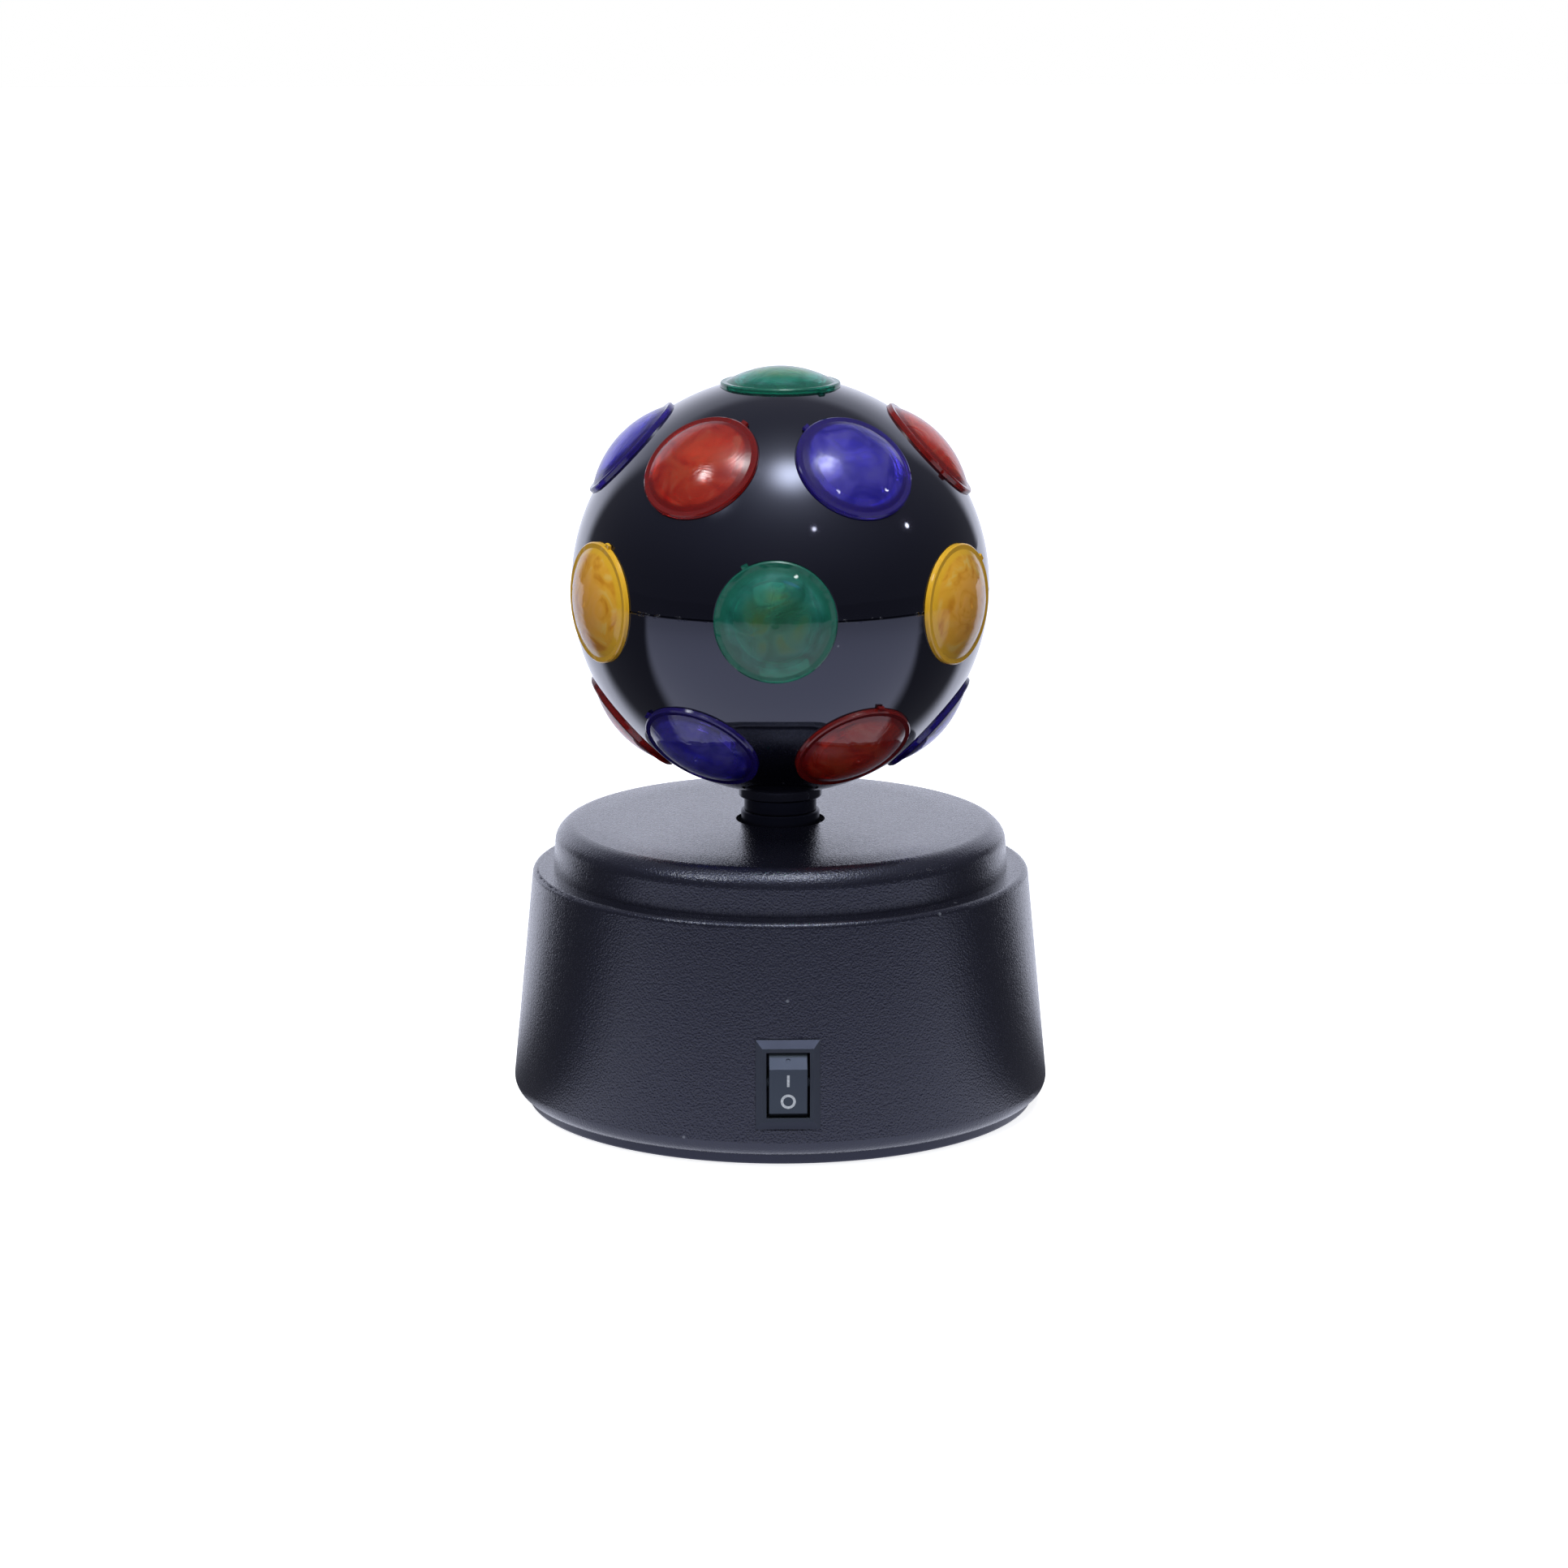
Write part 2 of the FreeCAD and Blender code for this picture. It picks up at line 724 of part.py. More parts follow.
def switch_window():
    """Flat and cut-out for the switch in the front wall."""
    half_width = bezel_width / 2 + free_gap
    half_length = bezel_length / 2 + free_gap
    flat = block(-half_width, half_width, -overrun, 0, -half_length, half_length)
    half_width = switch_body_width / 2 + fit_gap
    half_length = switch_body_length / 2 + fit_gap
    hole = block(-half_width, half_width, -overrun, overrun, -half_length, half_length)
    return switch_placed(flat.fuse(hole))


def base_body():
    """Tapered shell, rolled in at the foot, with the cap's ledge, screw posts, lugs and switch window."""
    inner_shoulder = body_shoulder_radius - body_wall
    lip_top_z = plate_top_z + foot_lip_height
    step_top_z = lip_top_z + wall_radius(lip_top_z) - body_wall - foot_lip_radius
    shell = turned([
        (foot_lip_radius, plate_top_z),
        (body_foot_radius, plate_top_z, body_foot_round),
        (body_shoulder_radius, ledge_z, body_ledge_round),
        (body_opening_radius, ledge_z),
        (body_opening_radius, ledge_z - body_wall),
        (inner_shoulder, ledge_z - body_wall, body_inner_round),
        (wall_radius(step_top_z) - body_wall, step_top_z),
        (foot_lip_radius, lip_top_z),
    ])
    inner = body_envelope(body_wall / 2)
    posts = [body_post(angle).common(inner) for angle in post_angles]
    lugs = [body_lug(angle).common(inner) for angle in lug_angles]
    shell = fused(shell, posts + lugs)
    cutters = [switch_window()]
    hole_top_z = plate_bottom_z + base_screw_length + overrun
    for angle in post_angles:
        cutters.append(rod(screw_hole_radius, plate_bottom_z, hole_top_z, around(post_circle_radius, angle)))
    for angle in lug_angles:
        place = around(lug_circle_radius, angle)
        cutters.append(rod(screw_pass_radius, ledge_z - body_height / 2, ledge_z, place))
    return shell.cut(cutters)


def crown_points(inset):
    """Flat edge, middle and foot of the cap's crowned border, drawn inside the outer skin by inset."""
    edge_radius = cap_radius - cap_side_draft - shoulder_width
    run = edge_radius - cap_flat_radius
    bend = (run ** 2 + crown_drop ** 2) / (2 * crown_drop) - inset
    turn = math.asin(run / (bend + inset))
    centre_z = cap_top_z - bend - inset
    return [
        (cap_flat_radius + bend * math.sin(a), centre_z + bend * math.cos(a))
        for a in (0, turn / 2, turn)
    ]


def cap_shell():
    """Crowned skin of the cap with its side wall, before hub, lip and bosses."""
    outer = crown_points(0)
    inner = crown_points(cap_wall)
    side_z = outer[2][1] - shoulder_width
    side_top = (cap_radius - cap_side_draft, side_z)
    inner_side = (cap_radius - cap_side_draft - cap_wall, side_z - cap_wall / 2)
    inner_foot = (cap_radius - cap_wall, ledge_z)
    edges = [
        line((0, cap_top_z - cap_wall), (0, cap_top_z)),
        line((0, cap_top_z), outer[0]),
        arc(*outer),
        line(outer[2], side_top),
        line(side_top, (cap_radius, ledge_z)),
        line((cap_radius, ledge_z), inner_foot),
        line(inner_foot, inner_side),
        line(inner_side, inner[2]),
        arc(*inner[::-1]),
        line(inner[0], (0, cap_top_z - cap_wall)),
    ]
    shell = turned_edges(edges)
    corners = [e for e in shell.Edges if is_circle_at(e, outer[2]) or is_circle_at(e, side_top)]
    return shell.makeFillet(shoulder_round, corners)


def is_circle_at(edge, point):
    """True where an edge is the full circle through a (radius, height) point."""
    box = edge.BoundBox
    near = fit_gap / 2
    return abs(box.XMax - point[0]) < near and abs(box.ZMax - point[1]) < near and box.ZLength < near


def top_cap():
    """Cap with the neck's recess and hub, locating lip, screw bosses and the drive plate's pillars."""
    under = cap_top_z - cap_wall / 2
    hub = rod(bush_radius + fit_gap + hub_wall, cap_top_z - hub_depth, under)
    lip = ring(cap_lip_radius, cap_lip_radius - cap_lip_thickness, ledge_z - cap_lip_height,
               ledge_z + cap_lip_root)
    boss_foot = ledge_z - cap_lip_height - free_gap + fit_gap
    boss_top = cap_top_z - cap_wall
    bosses = [rod(cap_boss_radius, boss_foot, boss_top, around(lug_circle_radius, a)) for a in lug_angles]
    pillars = [
        rod(pillar_radius, drive_top_z, under, around(pillar_circle_radius, a)) for a in pillar_angles
    ]
    cap = fused(cap_shell(), [hub, lip] + bosses + pillars)
    cutters = [rod(bush_radius + fit_gap, cap_top_z - hub_depth - overrun, cap_top_z + overrun)]
    cutters.append(rod(neck_recess_radius, cap_top_z - neck_recess_depth, cap_top_z + overrun))
    for angle in lug_angles:
        place = around(lug_circle_radius, angle)
        cutters.append(rod(screw_hole_radius, boss_foot - overrun, boss_foot + cap_screw_length, place))
    for angle in pillar_angles:
        place = around(pillar_circle_radius, angle)
        cutters.append(rod(screw_hole_radius, drive_top_z - overrun, drive_top_z + drive_screw_length, place))
    return cap.cut(cutters)


def neck_bush():
    """Bush that the ball's sleeve turns in: flange on the recess's floor and a ring above the cap."""
    floor_z = cap_top_z - neck_recess_depth
    flange_radius = neck_recess_radius - fit_gap
    return turned([
        (bush_bore_radius, bush_bottom_z),
        (bush_radius, bush_bottom_z, bush_round),
        (bush_radius, floor_z),
        (flange_radius, floor_z),
        (flange_radius, floor_z + bush_flange_thickness, bush_round),
        (neck_ring_radius, floor_z + bush_flange_thickness),
        (neck_ring_radius, bush_top_z, bush_round),
        (bush_bore_radius, bush_top_z),
    ])


def gearbox_screw_places():
    """Places of the two screws that hold the gearbox."""
    reach = gearbox_width / 2 + gearbox_ear_reach / 2
    return [V(side * reach, gear_distance + gearbox_front / 2, 0) for side in (-1, 1)]


def drive_plate():
    """Round plate under the cap that carries the gearbox and the lamp's post."""
    plate = turned([
        (0, drive_bottom_z),
        (drive_plate_radius, drive_bottom_z, drive_plate_thickness / 4),
        (drive_plate_radius, drive_top_z + drive_rim_height, drive_plate_thickness / 4),
        (drive_plate_radius - drive_rim_width, drive_top_z + drive_rim_height),
        (drive_plate_radius - drive_rim_width, drive_top_z),
        (0, drive_top_z),
    ])
    low = drive_bottom_z - overrun
    high = drive_top_z + overrun
    cutters = [rod(post_tube_radius + running_gap, low, high)]
    cutters.append(rod(shaft_hole_radius, low, high, V(0, gear_distance, 0)))
    for angle in pillar_angles:
        cutters.append(rod(screw_pass_radius, low, high, around(pillar_circle_radius, angle)))
    for place in gearbox_screw_places():
        cutters.append(rod(screw_hole_radius, low, high, place))
    for side in (-1, 1):
        slot = rounded_block(-wire_slot_length / 2, wire_slot_length / 2, -wire_slot_width / 2,
                             wire_slot_width / 2, low, high, wire_slot_width / 2)
        slot.rotate(V(0, 0, 0), UP, side * 45)
        slot.translate(around(wire_slot_radius, side * 45))
        cutters.append(slot)
    return plate.cut(cutters)


def gearbox_case():
    """Worm gearbox under the drive plate: case, ears, shaft boss and the motor's seat."""
    front = gear_distance - gearbox_front
    back = gear_distance + gearbox_back
    top = drive_bottom_z
    half = gearbox_width / 2
    case = rounded_block(-half, half, front, back, top - gearbox_height, top, gearbox_round)
    ear_y = gear_distance + gearbox_front / 2
    ears = rounded_block(-half - gearbox_ear_reach, half + gearbox_ear_reach, ear_y - gearbox_ear_width / 2,
                         ear_y + gearbox_ear_width / 2, top - gearbox_ear_thickness, top, gearbox_round)
    boss = rod(shaft_hole_radius - free_gap, top - overrun, top + gearbox_boss_height, V(0, gear_distance, 0))
    case = fused(case, [ears, boss])
    cutters = [rod(output_shaft_radius + running_gap, top - shaft_tail - fit_gap, top + overrun,
                   V(0, gear_distance, 0))]
    for place in gearbox_screw_places():
        cutters.append(rod(screw_pass_radius, top - gearbox_ear_thickness - overrun, top + overrun, place))
    motor_z = top - motor_drop - motor_height / 2
    seat = Part.makeCylinder(motor_boss_radius + fit_gap, motor_boss_length + fit_gap,
                             V(0, front, motor_z), V(0, 1, 0))
    cutters.append(seat)
    return case.cut(cutters)


def motor_can():
    """Flat-sided can motor that lies against the gearbox, with its end boss."""
    front = gear_distance - gearbox_front
    motor_z = drive_bottom_z - motor_drop - motor_height / 2
    can = Part.makeCylinder(motor_width / 2, motor_length, V(0, front - motor_length, motor_z), V(0, 1, 0))
    flats = block(-motor_width, motor_width, front - motor_length, front,
                  motor_z - motor_height / 2, motor_z + motor_height / 2)
    boss = Part.makeCylinder(motor_boss_radius, motor_boss_length, V(0, front, motor_z), V(0, 1, 0))
    end = Part.makeCylinder(motor_boss_radius, motor_boss_length,
                            V(0, front - motor_length - motor_boss_length, motor_z), V(0, 1, 0))
    return fused(can.common(flats), [boss, end])


def lamp_post():
    """Fixed tube from the drive plate up through the neck to the lamp's socket."""
    foot_z = drive_bottom_z - post_flange_thickness
    return turned([
        (post_bore_radius, foot_z),
        (post_flange_radius, foot_z, free_gap),
        (post_flange_radius, drive_bottom_z),
        (post_tube_radius, drive_bottom_z),
        (post_tube_radius, socket_bottom_z() + socket_skirt, free_gap),
        (post_bore_radius, socket_bottom_z() + socket_skirt),
    ])


def bulb_base_bottom_z():
    """Height of the bulb base's lower end."""
    return ball_z - bulb_neck_drop - bulb_base_height


def socket_bottom_z():
    """Height of the socket's lower end."""
    return bulb_base_bottom_z() - bulb_base_tip - fit_gap - socket_floor - socket_skirt


def lamp_socket():
    """Cup that holds the bulb, with a skirt over the post's top."""
    low = socket_bottom_z()
    floor_z = low + socket_skirt + socket_floor
    top = floor_z + socket_height
    return turned([
        (post_tube_radius + running_gap, low),
        (socket_radius - socket_wall / 2, low, free_gap),
        (socket_radius - socket_wall / 2, floor_z),
        (socket_radius, floor_z),
        (socket_radius, top, free_gap),
        (bulb_base_radius + fit_gap, top),
        (bulb_base_radius + fit_gap, floor_z),
        (post_bore_radius / 2, floor_z),
        (post_bore_radius / 2, low + socket_skirt),
        (post_tube_radius + running_gap, low + socket_skirt),
    ])


def bulb_base():
    """Brass screw base with its centre contact."""
    low = bulb_base_bottom_z()
    top = low + bulb_base_height
    return turned([
        (0, low - bulb_base_tip),
        (bulb_neck_radius / 2, low - bulb_base_tip, free_gap),
        (bulb_neck_radius, low),
        (bulb_base_radius, low + bulb_base_tip),
        (bulb_base_radius, top, free_gap),
        (0, top),
    ])


def bulb_glass():
    """Thin globe on a straight neck, standing on the base."""
    low = bulb_base_bottom_z() + bulb_base_height
    inner_radius = bulb_radius - bulb_glass_wall
    inner_neck = bulb_neck_radius - bulb_glass_wall
    outer_join = -math.acos(bulb_neck_radius / bulb_radius)
    inner_join = -math.acos(inner_neck / inner_radius)

    def globe(radius, join, share):
        turn = join + (math.pi / 2 - join) * share
        return radius * math.cos(turn), ball_z + radius * math.sin(turn)

    outer = [globe(bulb_radius, outer_join, s) for s in (0, 1 / 2, 1)]
    inner = [globe(inner_radius, inner_join, s) for s in (1, 1 / 2, 0)]
    return turned_edges([
        line((inner_neck, low), (bulb_neck_radius, low)),
        line((bulb_neck_radius, low), outer[0]),
        arc(*outer),
        line((0, outer[2][1]), (0, inner[0][1])),
        arc(*inner),
        line(inner[2], (inner_neck, low)),
    ])


def bulb_filament():
    """Two leads on the base with the filament across their tips."""
    low = bulb_base_bottom_z() + bulb_base_height
    half = filament_span / 2
    leads = [rod(filament_lead_radius, low, ball_z, V(side * half, 0, 0)) for side in (-1, 1)]
    wire = Part.makeCylinder(filament_radius, filament_span, V(-half, 0, ball_z), V(1, 0, 0))
    return fused(wire, leads)


def screw(length, cross):
    """Pan-head screw, head up from z 0 and shank down; cross cuts the drive recess."""
    solid = turned([
        (0, -length),
        (screw_radius / 2, -length),
        (screw_radius, -length + screw_radius),
        (screw_radius, 0),
        (screw_head_radius, 0),
        (screw_head_radius, screw_head_height, screw_head_round),
        (0, screw_head_height),
    ])
    if not cross:
        return solid
    half = screw_cross_length / 2
    width = screw_cross_width / 2
    low = screw_head_height - screw_cross_depth
    top = screw_head_height + overrun
    recess = [block(-half, half, -width, width, low, top), block(-width, width, -half, half, low, top)]
    return solid.cut(recess)


def screw_group(length, places, cross=False):
    """Copies of a screw driven upwards, each with the underside of its head at a place."""
    solids = []
    for place in places:
        solid = screw(length, cross)
        solid.rotate(V(0, 0, 0), V(1, 0, 0), 180)
        solid.translate(place)
        solids.append(solid)
    return solids


def bottom_plate():
    """Base plate with its rim, battery bay, door opening, screw bosses and recesses for the feet."""
    disc = turned([
        (0, plate_bottom_z),
        (plate_radius, plate_bottom_z, plate_round),
        (plate_radius, plate_top_z),
        (0, plate_top_z),
    ])
    lip_outer = foot_lip_radius - free_gap
    lip = ring(lip_outer, lip_outer - plate_lip_thickness, plate_top_z - plate_thickness / 2,
               plate_top_z + plate_lip_height)
    bay = rounded_block(-bay_half_x - bay_wall, bay_half_x + bay_wall, bay_centre_y - bay_half_y - bay_wall,
                        bay_centre_y + bay_half_y + bay_wall, plate_bottom_z, bay_roof_z + bay_wall, bay_wall)
    margin = door_margin + bay_frame_margin
    frame = rounded_block(-bay_half_x - margin, bay_half_x + margin, bay_centre_y - bay_half_y - margin,
                          bay_centre_y + bay_half_y + margin, plate_bottom_z,
                          plate_top_z + bay_frame_height, bay_frame_margin)
    bosses = [
        rod(plate_boss_radius, plate_bottom_z, plate_top_z + plate_boss_height, around(post_circle_radius, a))
        for a in post_angles
    ]
    plate = fused(disc, [lip, bay, frame] + bosses)
    low = plate_bottom_z - overrun
    cutters = [block(-bay_half_x, bay_half_x, bay_centre_y - bay_half_y, bay_centre_y + bay_half_y,
                     low, bay_roof_z)]
    cutters.append(block(-door_half_x - free_gap, door_half_x + free_gap,
                         door_axis_y - door_thickness / 2 - free_gap, door_back_y + free_gap,
                         low, plate_top_z))
    pin_reach = door_half_x + door_pin_length + free_gap
    cutters.append(Part.makeCylinder(door_pin_radius + running_gap, 2 * pin_reach,
                                     V(-pin_reach, door_axis_y, door_axis_z), V(1, 0, 0)))
    for angle in post_angles:
        place = around(post_circle_radius, angle)
        cutters.append(rod(screw_head_radius + free_gap, low, plate_bottom_z + counterbore_depth, place))
        cutters.append(rod(screw_pass_radius, low, plate_top_z + plate_boss_height + overrun, place))
    for angle in foot_angles:
        place = around(foot_circle_radius, angle)
        cutters.append(rod(foot_radius + fit_gap, low, plate_bottom_z + foot_recess, place))
    return plate.cut(cutters)


def rubber_feet():
    """Round feet in the plate's recesses."""
    solids = []
    for angle in foot_angles:
        foot = turned([
            (0, 0),
            (foot_radius, 0, foot_round),
            (foot_radius, plate_bottom_z + foot_recess),
            (0, plate_bottom_z + foot_recess),
        ])
        foot.translate(around(foot_circle_radius, angle))
        solids.append(foot)
    return solids


def battery_door():
    """Door on two stub pins, its hinge edge fully rounded, with a snap tongue and thumb recess."""
    low = plate_bottom_z
    high = plate_bottom_z + door_thickness
    half = door_thickness / 2
    panel = block(-door_half_x, door_half_x, door_axis_y, door_back_y, low, high)
    edge = Part.makeCylinder(half, 2 * door_half_x, V(-door_half_x, door_axis_y, door_axis_z), V(1, 0, 0))
    reach = door_half_x + door_pin_length
    pins = Part.makeCylinder(door_pin_radius, 2 * reach, V(-reach, door_axis_y, door_axis_z), V(1, 0, 0))
    door = fused(panel, [edge, pins])
    cutters = []
    for side in (-1, 1):
        centre = side * (tongue_width + tongue_slot) / 2
        cutters.append(block(centre - tongue_slot / 2, centre + tongue_slot / 2,
                             door_back_y - tongue_length, door_back_y + overrun,
                             low - overrun, high + overrun))
    thumb = Part.makeCylinder(tongue_width, tongue_width - 2 * tongue_slot,
                              V(tongue_slot - tongue_width / 2, door_back_y - tongue_length / 2,
                                low + thumb_depth - tongue_width), V(1, 0, 0))
    cutters.append(thumb)
    return door.cut(cutters)


def cell_rows():
    """Sideways place and pole direction of each cell in the bay."""
    pitch = 2 * cell_radius + cell_gap
    rows = []
    for i in range(cell_count):
        y = bay_centre_y + pitch * (i - (cell_count - 1) / 2)
        rows.append((y, 1 if i % 2 == 0 else -1))
    return rows


def aa_cells():
    """Round cells that lie side by side, poles turned about in turn."""
    solids = []
    body_length = cell_length - cell_nub_height
    for y, pole in cell_rows():
        cell = turned([
            (0, 0),
            (cell_radius, 0, cell_round),
            (cell_radius, body_length, cell_round),
            (cell_nub_radius, body_length),
            (cell_nub_radius, cell_length),
            (0, cell_length),
        ])
        cell.translate(V(0, 0, -cell_length / 2))
        cell.rotate(V(0, 0, 0), V(0, 1, 0), 90 * pole)
        cell.translate(V(0, y, cell_z))
        solids.append(cell)
    return solids


def battery_contacts():
    """Contact strips on the bay's end walls, each with a bowed leaf that meets its cell."""
    solids = []
    for y, pole in cell_rows():
        for side in (-1, 1):
            wall = side * bay_half_x
            inner = wall - side * contact_thickness
            tip = side * cell_length / 2
            z_low = cell_z - contact_width / 2
            z_high = cell_z + contact_width / 2
            plate = block(min(wall, inner), max(wall, inner), y - contact_width / 2, y + contact_width / 2,
                          z_low, z_high)
            leaf_outer = [V(inner, y, z_low), V(tip, y, cell_z), V(inner, y, z_high)]
            back = side * contact_thickness
            leaf_inner = [V(inner, y, z_high - contact_thickness), V(tip + back, y, cell_z),
                          V(inner, y, z_low + contact_thickness)]
            edges = [
                Part.Arc(*leaf_outer).toShape(),
                Part.LineSegment(leaf_outer[2], leaf_inner[0]).toShape(),
                Part.Arc(*leaf_inner).toShape(),
                Part.LineSegment(leaf_inner[2], leaf_outer[0]).toShape(),
            ]
            leaf = Part.Face(Part.Wire(edges)).extrude(V(0, leaf_width, 0))
            leaf.translate(V(0, -leaf_width / 2, 0))
            solids.append(fused(plate, [leaf]))
    return solids


def rectangle(width, length, y):
    """Upright rectangle in the switch's own frame, at a depth."""
    corners = [(-1, -1), (1, -1), (1, 1), (-1, 1), (-1, -1)]
    return Part.makePolygon([V(a * width / 2, y, b * length / 2) for a, b in corners])


def switch_housing():
    """Bevelled bezel on a hollow body, with snap barbs and holes for the rocker's pins."""
    front = -(bezel_edge + bezel_rise)
    slab = block(-bezel_width / 2, bezel_width / 2, -bezel_edge, 0, -bezel_length / 2, bezel_length / 2)
    bevel = Part.makeLoft([
        rectangle(bezel_width, bezel_length, -bezel_edge),
        rectangle(bezel_width - 2 * bezel_bevel_width, bezel_length - 2 * bezel_bevel_length, front),
    ], True, True)
    body = block(-switch_body_width / 2, switch_body_width / 2, -bezel_edge / 2, switch_body_depth,
                 -switch_body_length / 2, switch_body_length / 2)
    barbs = []
    for side in (-1, 1):
        root = side * switch_body_length / 2
        corners = [V(0, barb_gap, root), V(0, barb_gap, root + side * barb_height),
                   V(0, barb_gap + barb_length, root)]
        barb = Part.Face(Part.makePolygon(corners + corners[:1])).extrude(V(barb_width, 0, 0))
        barb.translate(V(-barb_width / 2, 0, 0))
        barbs.append(barb)
    housing = fused(slab, [bevel, body] + barbs)
    opening = block(-switch_opening_width / 2, switch_opening_width / 2, front - overrun,
                    front + switch_cavity_depth, -switch_opening_length / 2, switch_opening_length / 2)
    cavity = block(-switch_opening_width / 2, switch_opening_width / 2, front + switch_lip_depth,
                   front + switch_cavity_depth, -switch_cavity_length / 2, switch_cavity_length / 2)
    pin_reach = rocker_width / 2 + rocker_pin_length + free_gap
    pin_hole = Part.makeCylinder(rocker_pin_radius + running_gap, 2 * pin_reach,
                                 V(-pin_reach, front + rocker_pivot_depth, 0), V(1, 0, 0))
    return switch_placed(housing.cut([opening, cavity, pin_hole]))


def switch_terminals():
    """Blades on the back of the switch."""
    solids = []
    for side in (-1, 1):
        z = side * terminal_spacing / 2
        blade = block(-terminal_width / 2, terminal_width / 2, switch_body_depth,
                      switch_body_depth + terminal_length, z - terminal_thickness / 2,
                      z + terminal_thickness / 2)
        hole = Part.makeCylinder(terminal_thickness, overrun * 2,
                                 V(0, switch_body_depth + terminal_length * 2 / 3, z - overrun), UP)
        solids.append(switch_placed(blade.cut(hole)))
    return solids


def switch_rocker():
    """Rocker at rest with its upper end proud: dished face, sloped ends, round skirt and stub pins."""
    front = -(bezel_edge + bezel_rise)
    pivot = V(0, front + rocker_pivot_depth, 0)

    def place(half, depth):
        return V(0, front + depth, half)

    skirt_radius = math.hypot(rocker_end_half, rocker_pivot_depth - rocker_end_depth)

    def skirt(depth):
        return place(math.sqrt(skirt_radius ** 2 - (rocker_pivot_depth - depth) ** 2), depth)

    face_top = place(rocker_face_half, -rocker_face_proud)
    dish = place(0, rocker_face_dish - rocker_face_proud)
    end_top = place(rocker_end_half, rocker_end_depth)
    skirt_middle = skirt((rocker_end_depth + rocker_skirt_depth) / 2)
    skirt_foot = skirt(rocker_skirt_depth)
    lower = [end_top, skirt_middle, skirt_foot]
    heel = place(rocker_heel_half, rocker_heel_depth)
    hub = place(rocker_hub_half, rocker_hub_depth)

    def mirrored(point):
        return V(point.x, point.y, -point.z)

    edges = [
        Part.Arc(mirrored(face_top), dish, face_top).toShape(),
        Part.LineSegment(face_top, end_top).toShape(),
        Part.Arc(*lower).toShape(),
        Part.LineSegment(skirt_foot, heel).toShape(),
        Part.LineSegment(heel, hub).toShape(),
        Part.LineSegment(hub, mirrored(hub)).toShape(),
        Part.LineSegment(mirrored(hub), mirrored(heel)).toShape(),
        Part.LineSegment(mirrored(heel), mirrored(skirt_foot)).toShape(),
        Part.Arc(*[mirrored(p) for p in lower[::-1]]).toShape(),
        Part.LineSegment(mirrored(end_top), mirrored(face_top)).toShape(),
    ]
    rocker = Part.Face(Part.Wire(edges)).extrude(V(rocker_width, 0, 0))
    rocker.translate(V(-rocker_width / 2, 0, 0))
    reach = rocker_width / 2 + rocker_pin_length
    pins = Part.makeCylinder(rocker_pin_radius, 2 * reach, V(-reach, pivot.y, 0), V(1, 0, 0))
    slope = face_top - end_top
    outward = V(0, slope.z, -slope.y).normalize()
    dimple_floor = end_top + slope * rocker_dimple_share - outward * rocker_dimple_depth
    dimple = Part.makeCylinder(rocker_dimple_radius, overrun, dimple_floor, outward)
    rocker = fused(rocker, [pins]).cut(dimple)
    rocker.rotate(pivot, V(1, 0, 0), rocker_half_angle)
    return switch_placed(rocker)


def write_ball():
    write("ball_upper_shell", ball_upper_shell())
    write("ball_lower_shell", ball_lower_shell())
    for name, direction, angle, gate_angle in lens_places():
        write(name, lens(direction, angle, gate_angle))
    write("ball_neck", ball_neck())
    write("neck_nut", neck_nut())
    write("neck_clip", neck_clip())
    write("ball_gear", ball_gear())


def write_base():
    write("base_body", base_body())
    write("top_cap", top_cap())
    write("bottom_plate", bottom_plate())
    write("rubber_feet", rubber_feet())
    write("neck_bush", neck_bush())
    lug_bottom_z = ledge_z - cap_lip_height - free_gap - lug_thickness
    head_z = plate_bottom_z + counterbore_depth
    write("base_screws", screw_group(
        base_screw_length, [around(post_circle_radius, a, head_z) for a in post_angles], True))
    write("cap_screws", screw_group(
        cap_screw_length, [around(lug_circle_radius, a, lug_bottom_z) for a in lug_angles]))
    write("battery_door", battery_door())
    write("aa_cells", aa_cells())
    write("battery_contacts", battery_contacts())


def write_drive():
    write("drive_plate", drive_plate())
    write("drive_plate_screws", screw_group(
        drive_screw_length, [around(pillar_circle_radius, a, drive_bottom_z) for a in pillar_angles]))
    write("gearbox_case", gearbox_case())
    ear_z = drive_bottom_z - gearbox_ear_thickness
    write("gearbox_screws", screw_group(
        gearbox_screw_length, [place + V(0, 0, ear_z) for place in gearbox_screw_places()]))
    write("motor_can", motor_can())
    write("output_shaft", output_shaft())
    write("drive_pinion", drive_pinion())


def write_lamp():
    write("lamp_post", lamp_post())
    write("lamp_socket", lamp_socket())
    write("bulb_base", bulb_base())
    write("bulb_glass", bulb_glass())
    write("bulb_filament", bulb_filament())


def write_switch():
    write("switch_housing", switch_housing())
    write("switch_terminals", switch_terminals())
    write("switch_rocker", switch_rocker())


write_ball()
write_base()
write_drive()
write_lamp()
write_switch()
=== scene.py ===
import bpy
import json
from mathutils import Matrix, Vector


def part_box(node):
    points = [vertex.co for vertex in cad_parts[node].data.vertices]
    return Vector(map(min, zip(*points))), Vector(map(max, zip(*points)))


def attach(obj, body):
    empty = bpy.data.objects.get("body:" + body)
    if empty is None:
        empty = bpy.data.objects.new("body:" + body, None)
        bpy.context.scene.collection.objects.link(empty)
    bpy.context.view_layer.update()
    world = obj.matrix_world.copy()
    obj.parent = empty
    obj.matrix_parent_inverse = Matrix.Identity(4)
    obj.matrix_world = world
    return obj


bl_info = {
    "name": "Mini Disco Ball Lamp",
    "version": (1, 0, 0),
    "blender": (4, 5, 0),
    "location": "3D View > Sidebar > Disco Ball",
    "description": "Finishes, switch marks and studio of a battery lamp with a turning ball of lenses",
    "category": "Object",
}

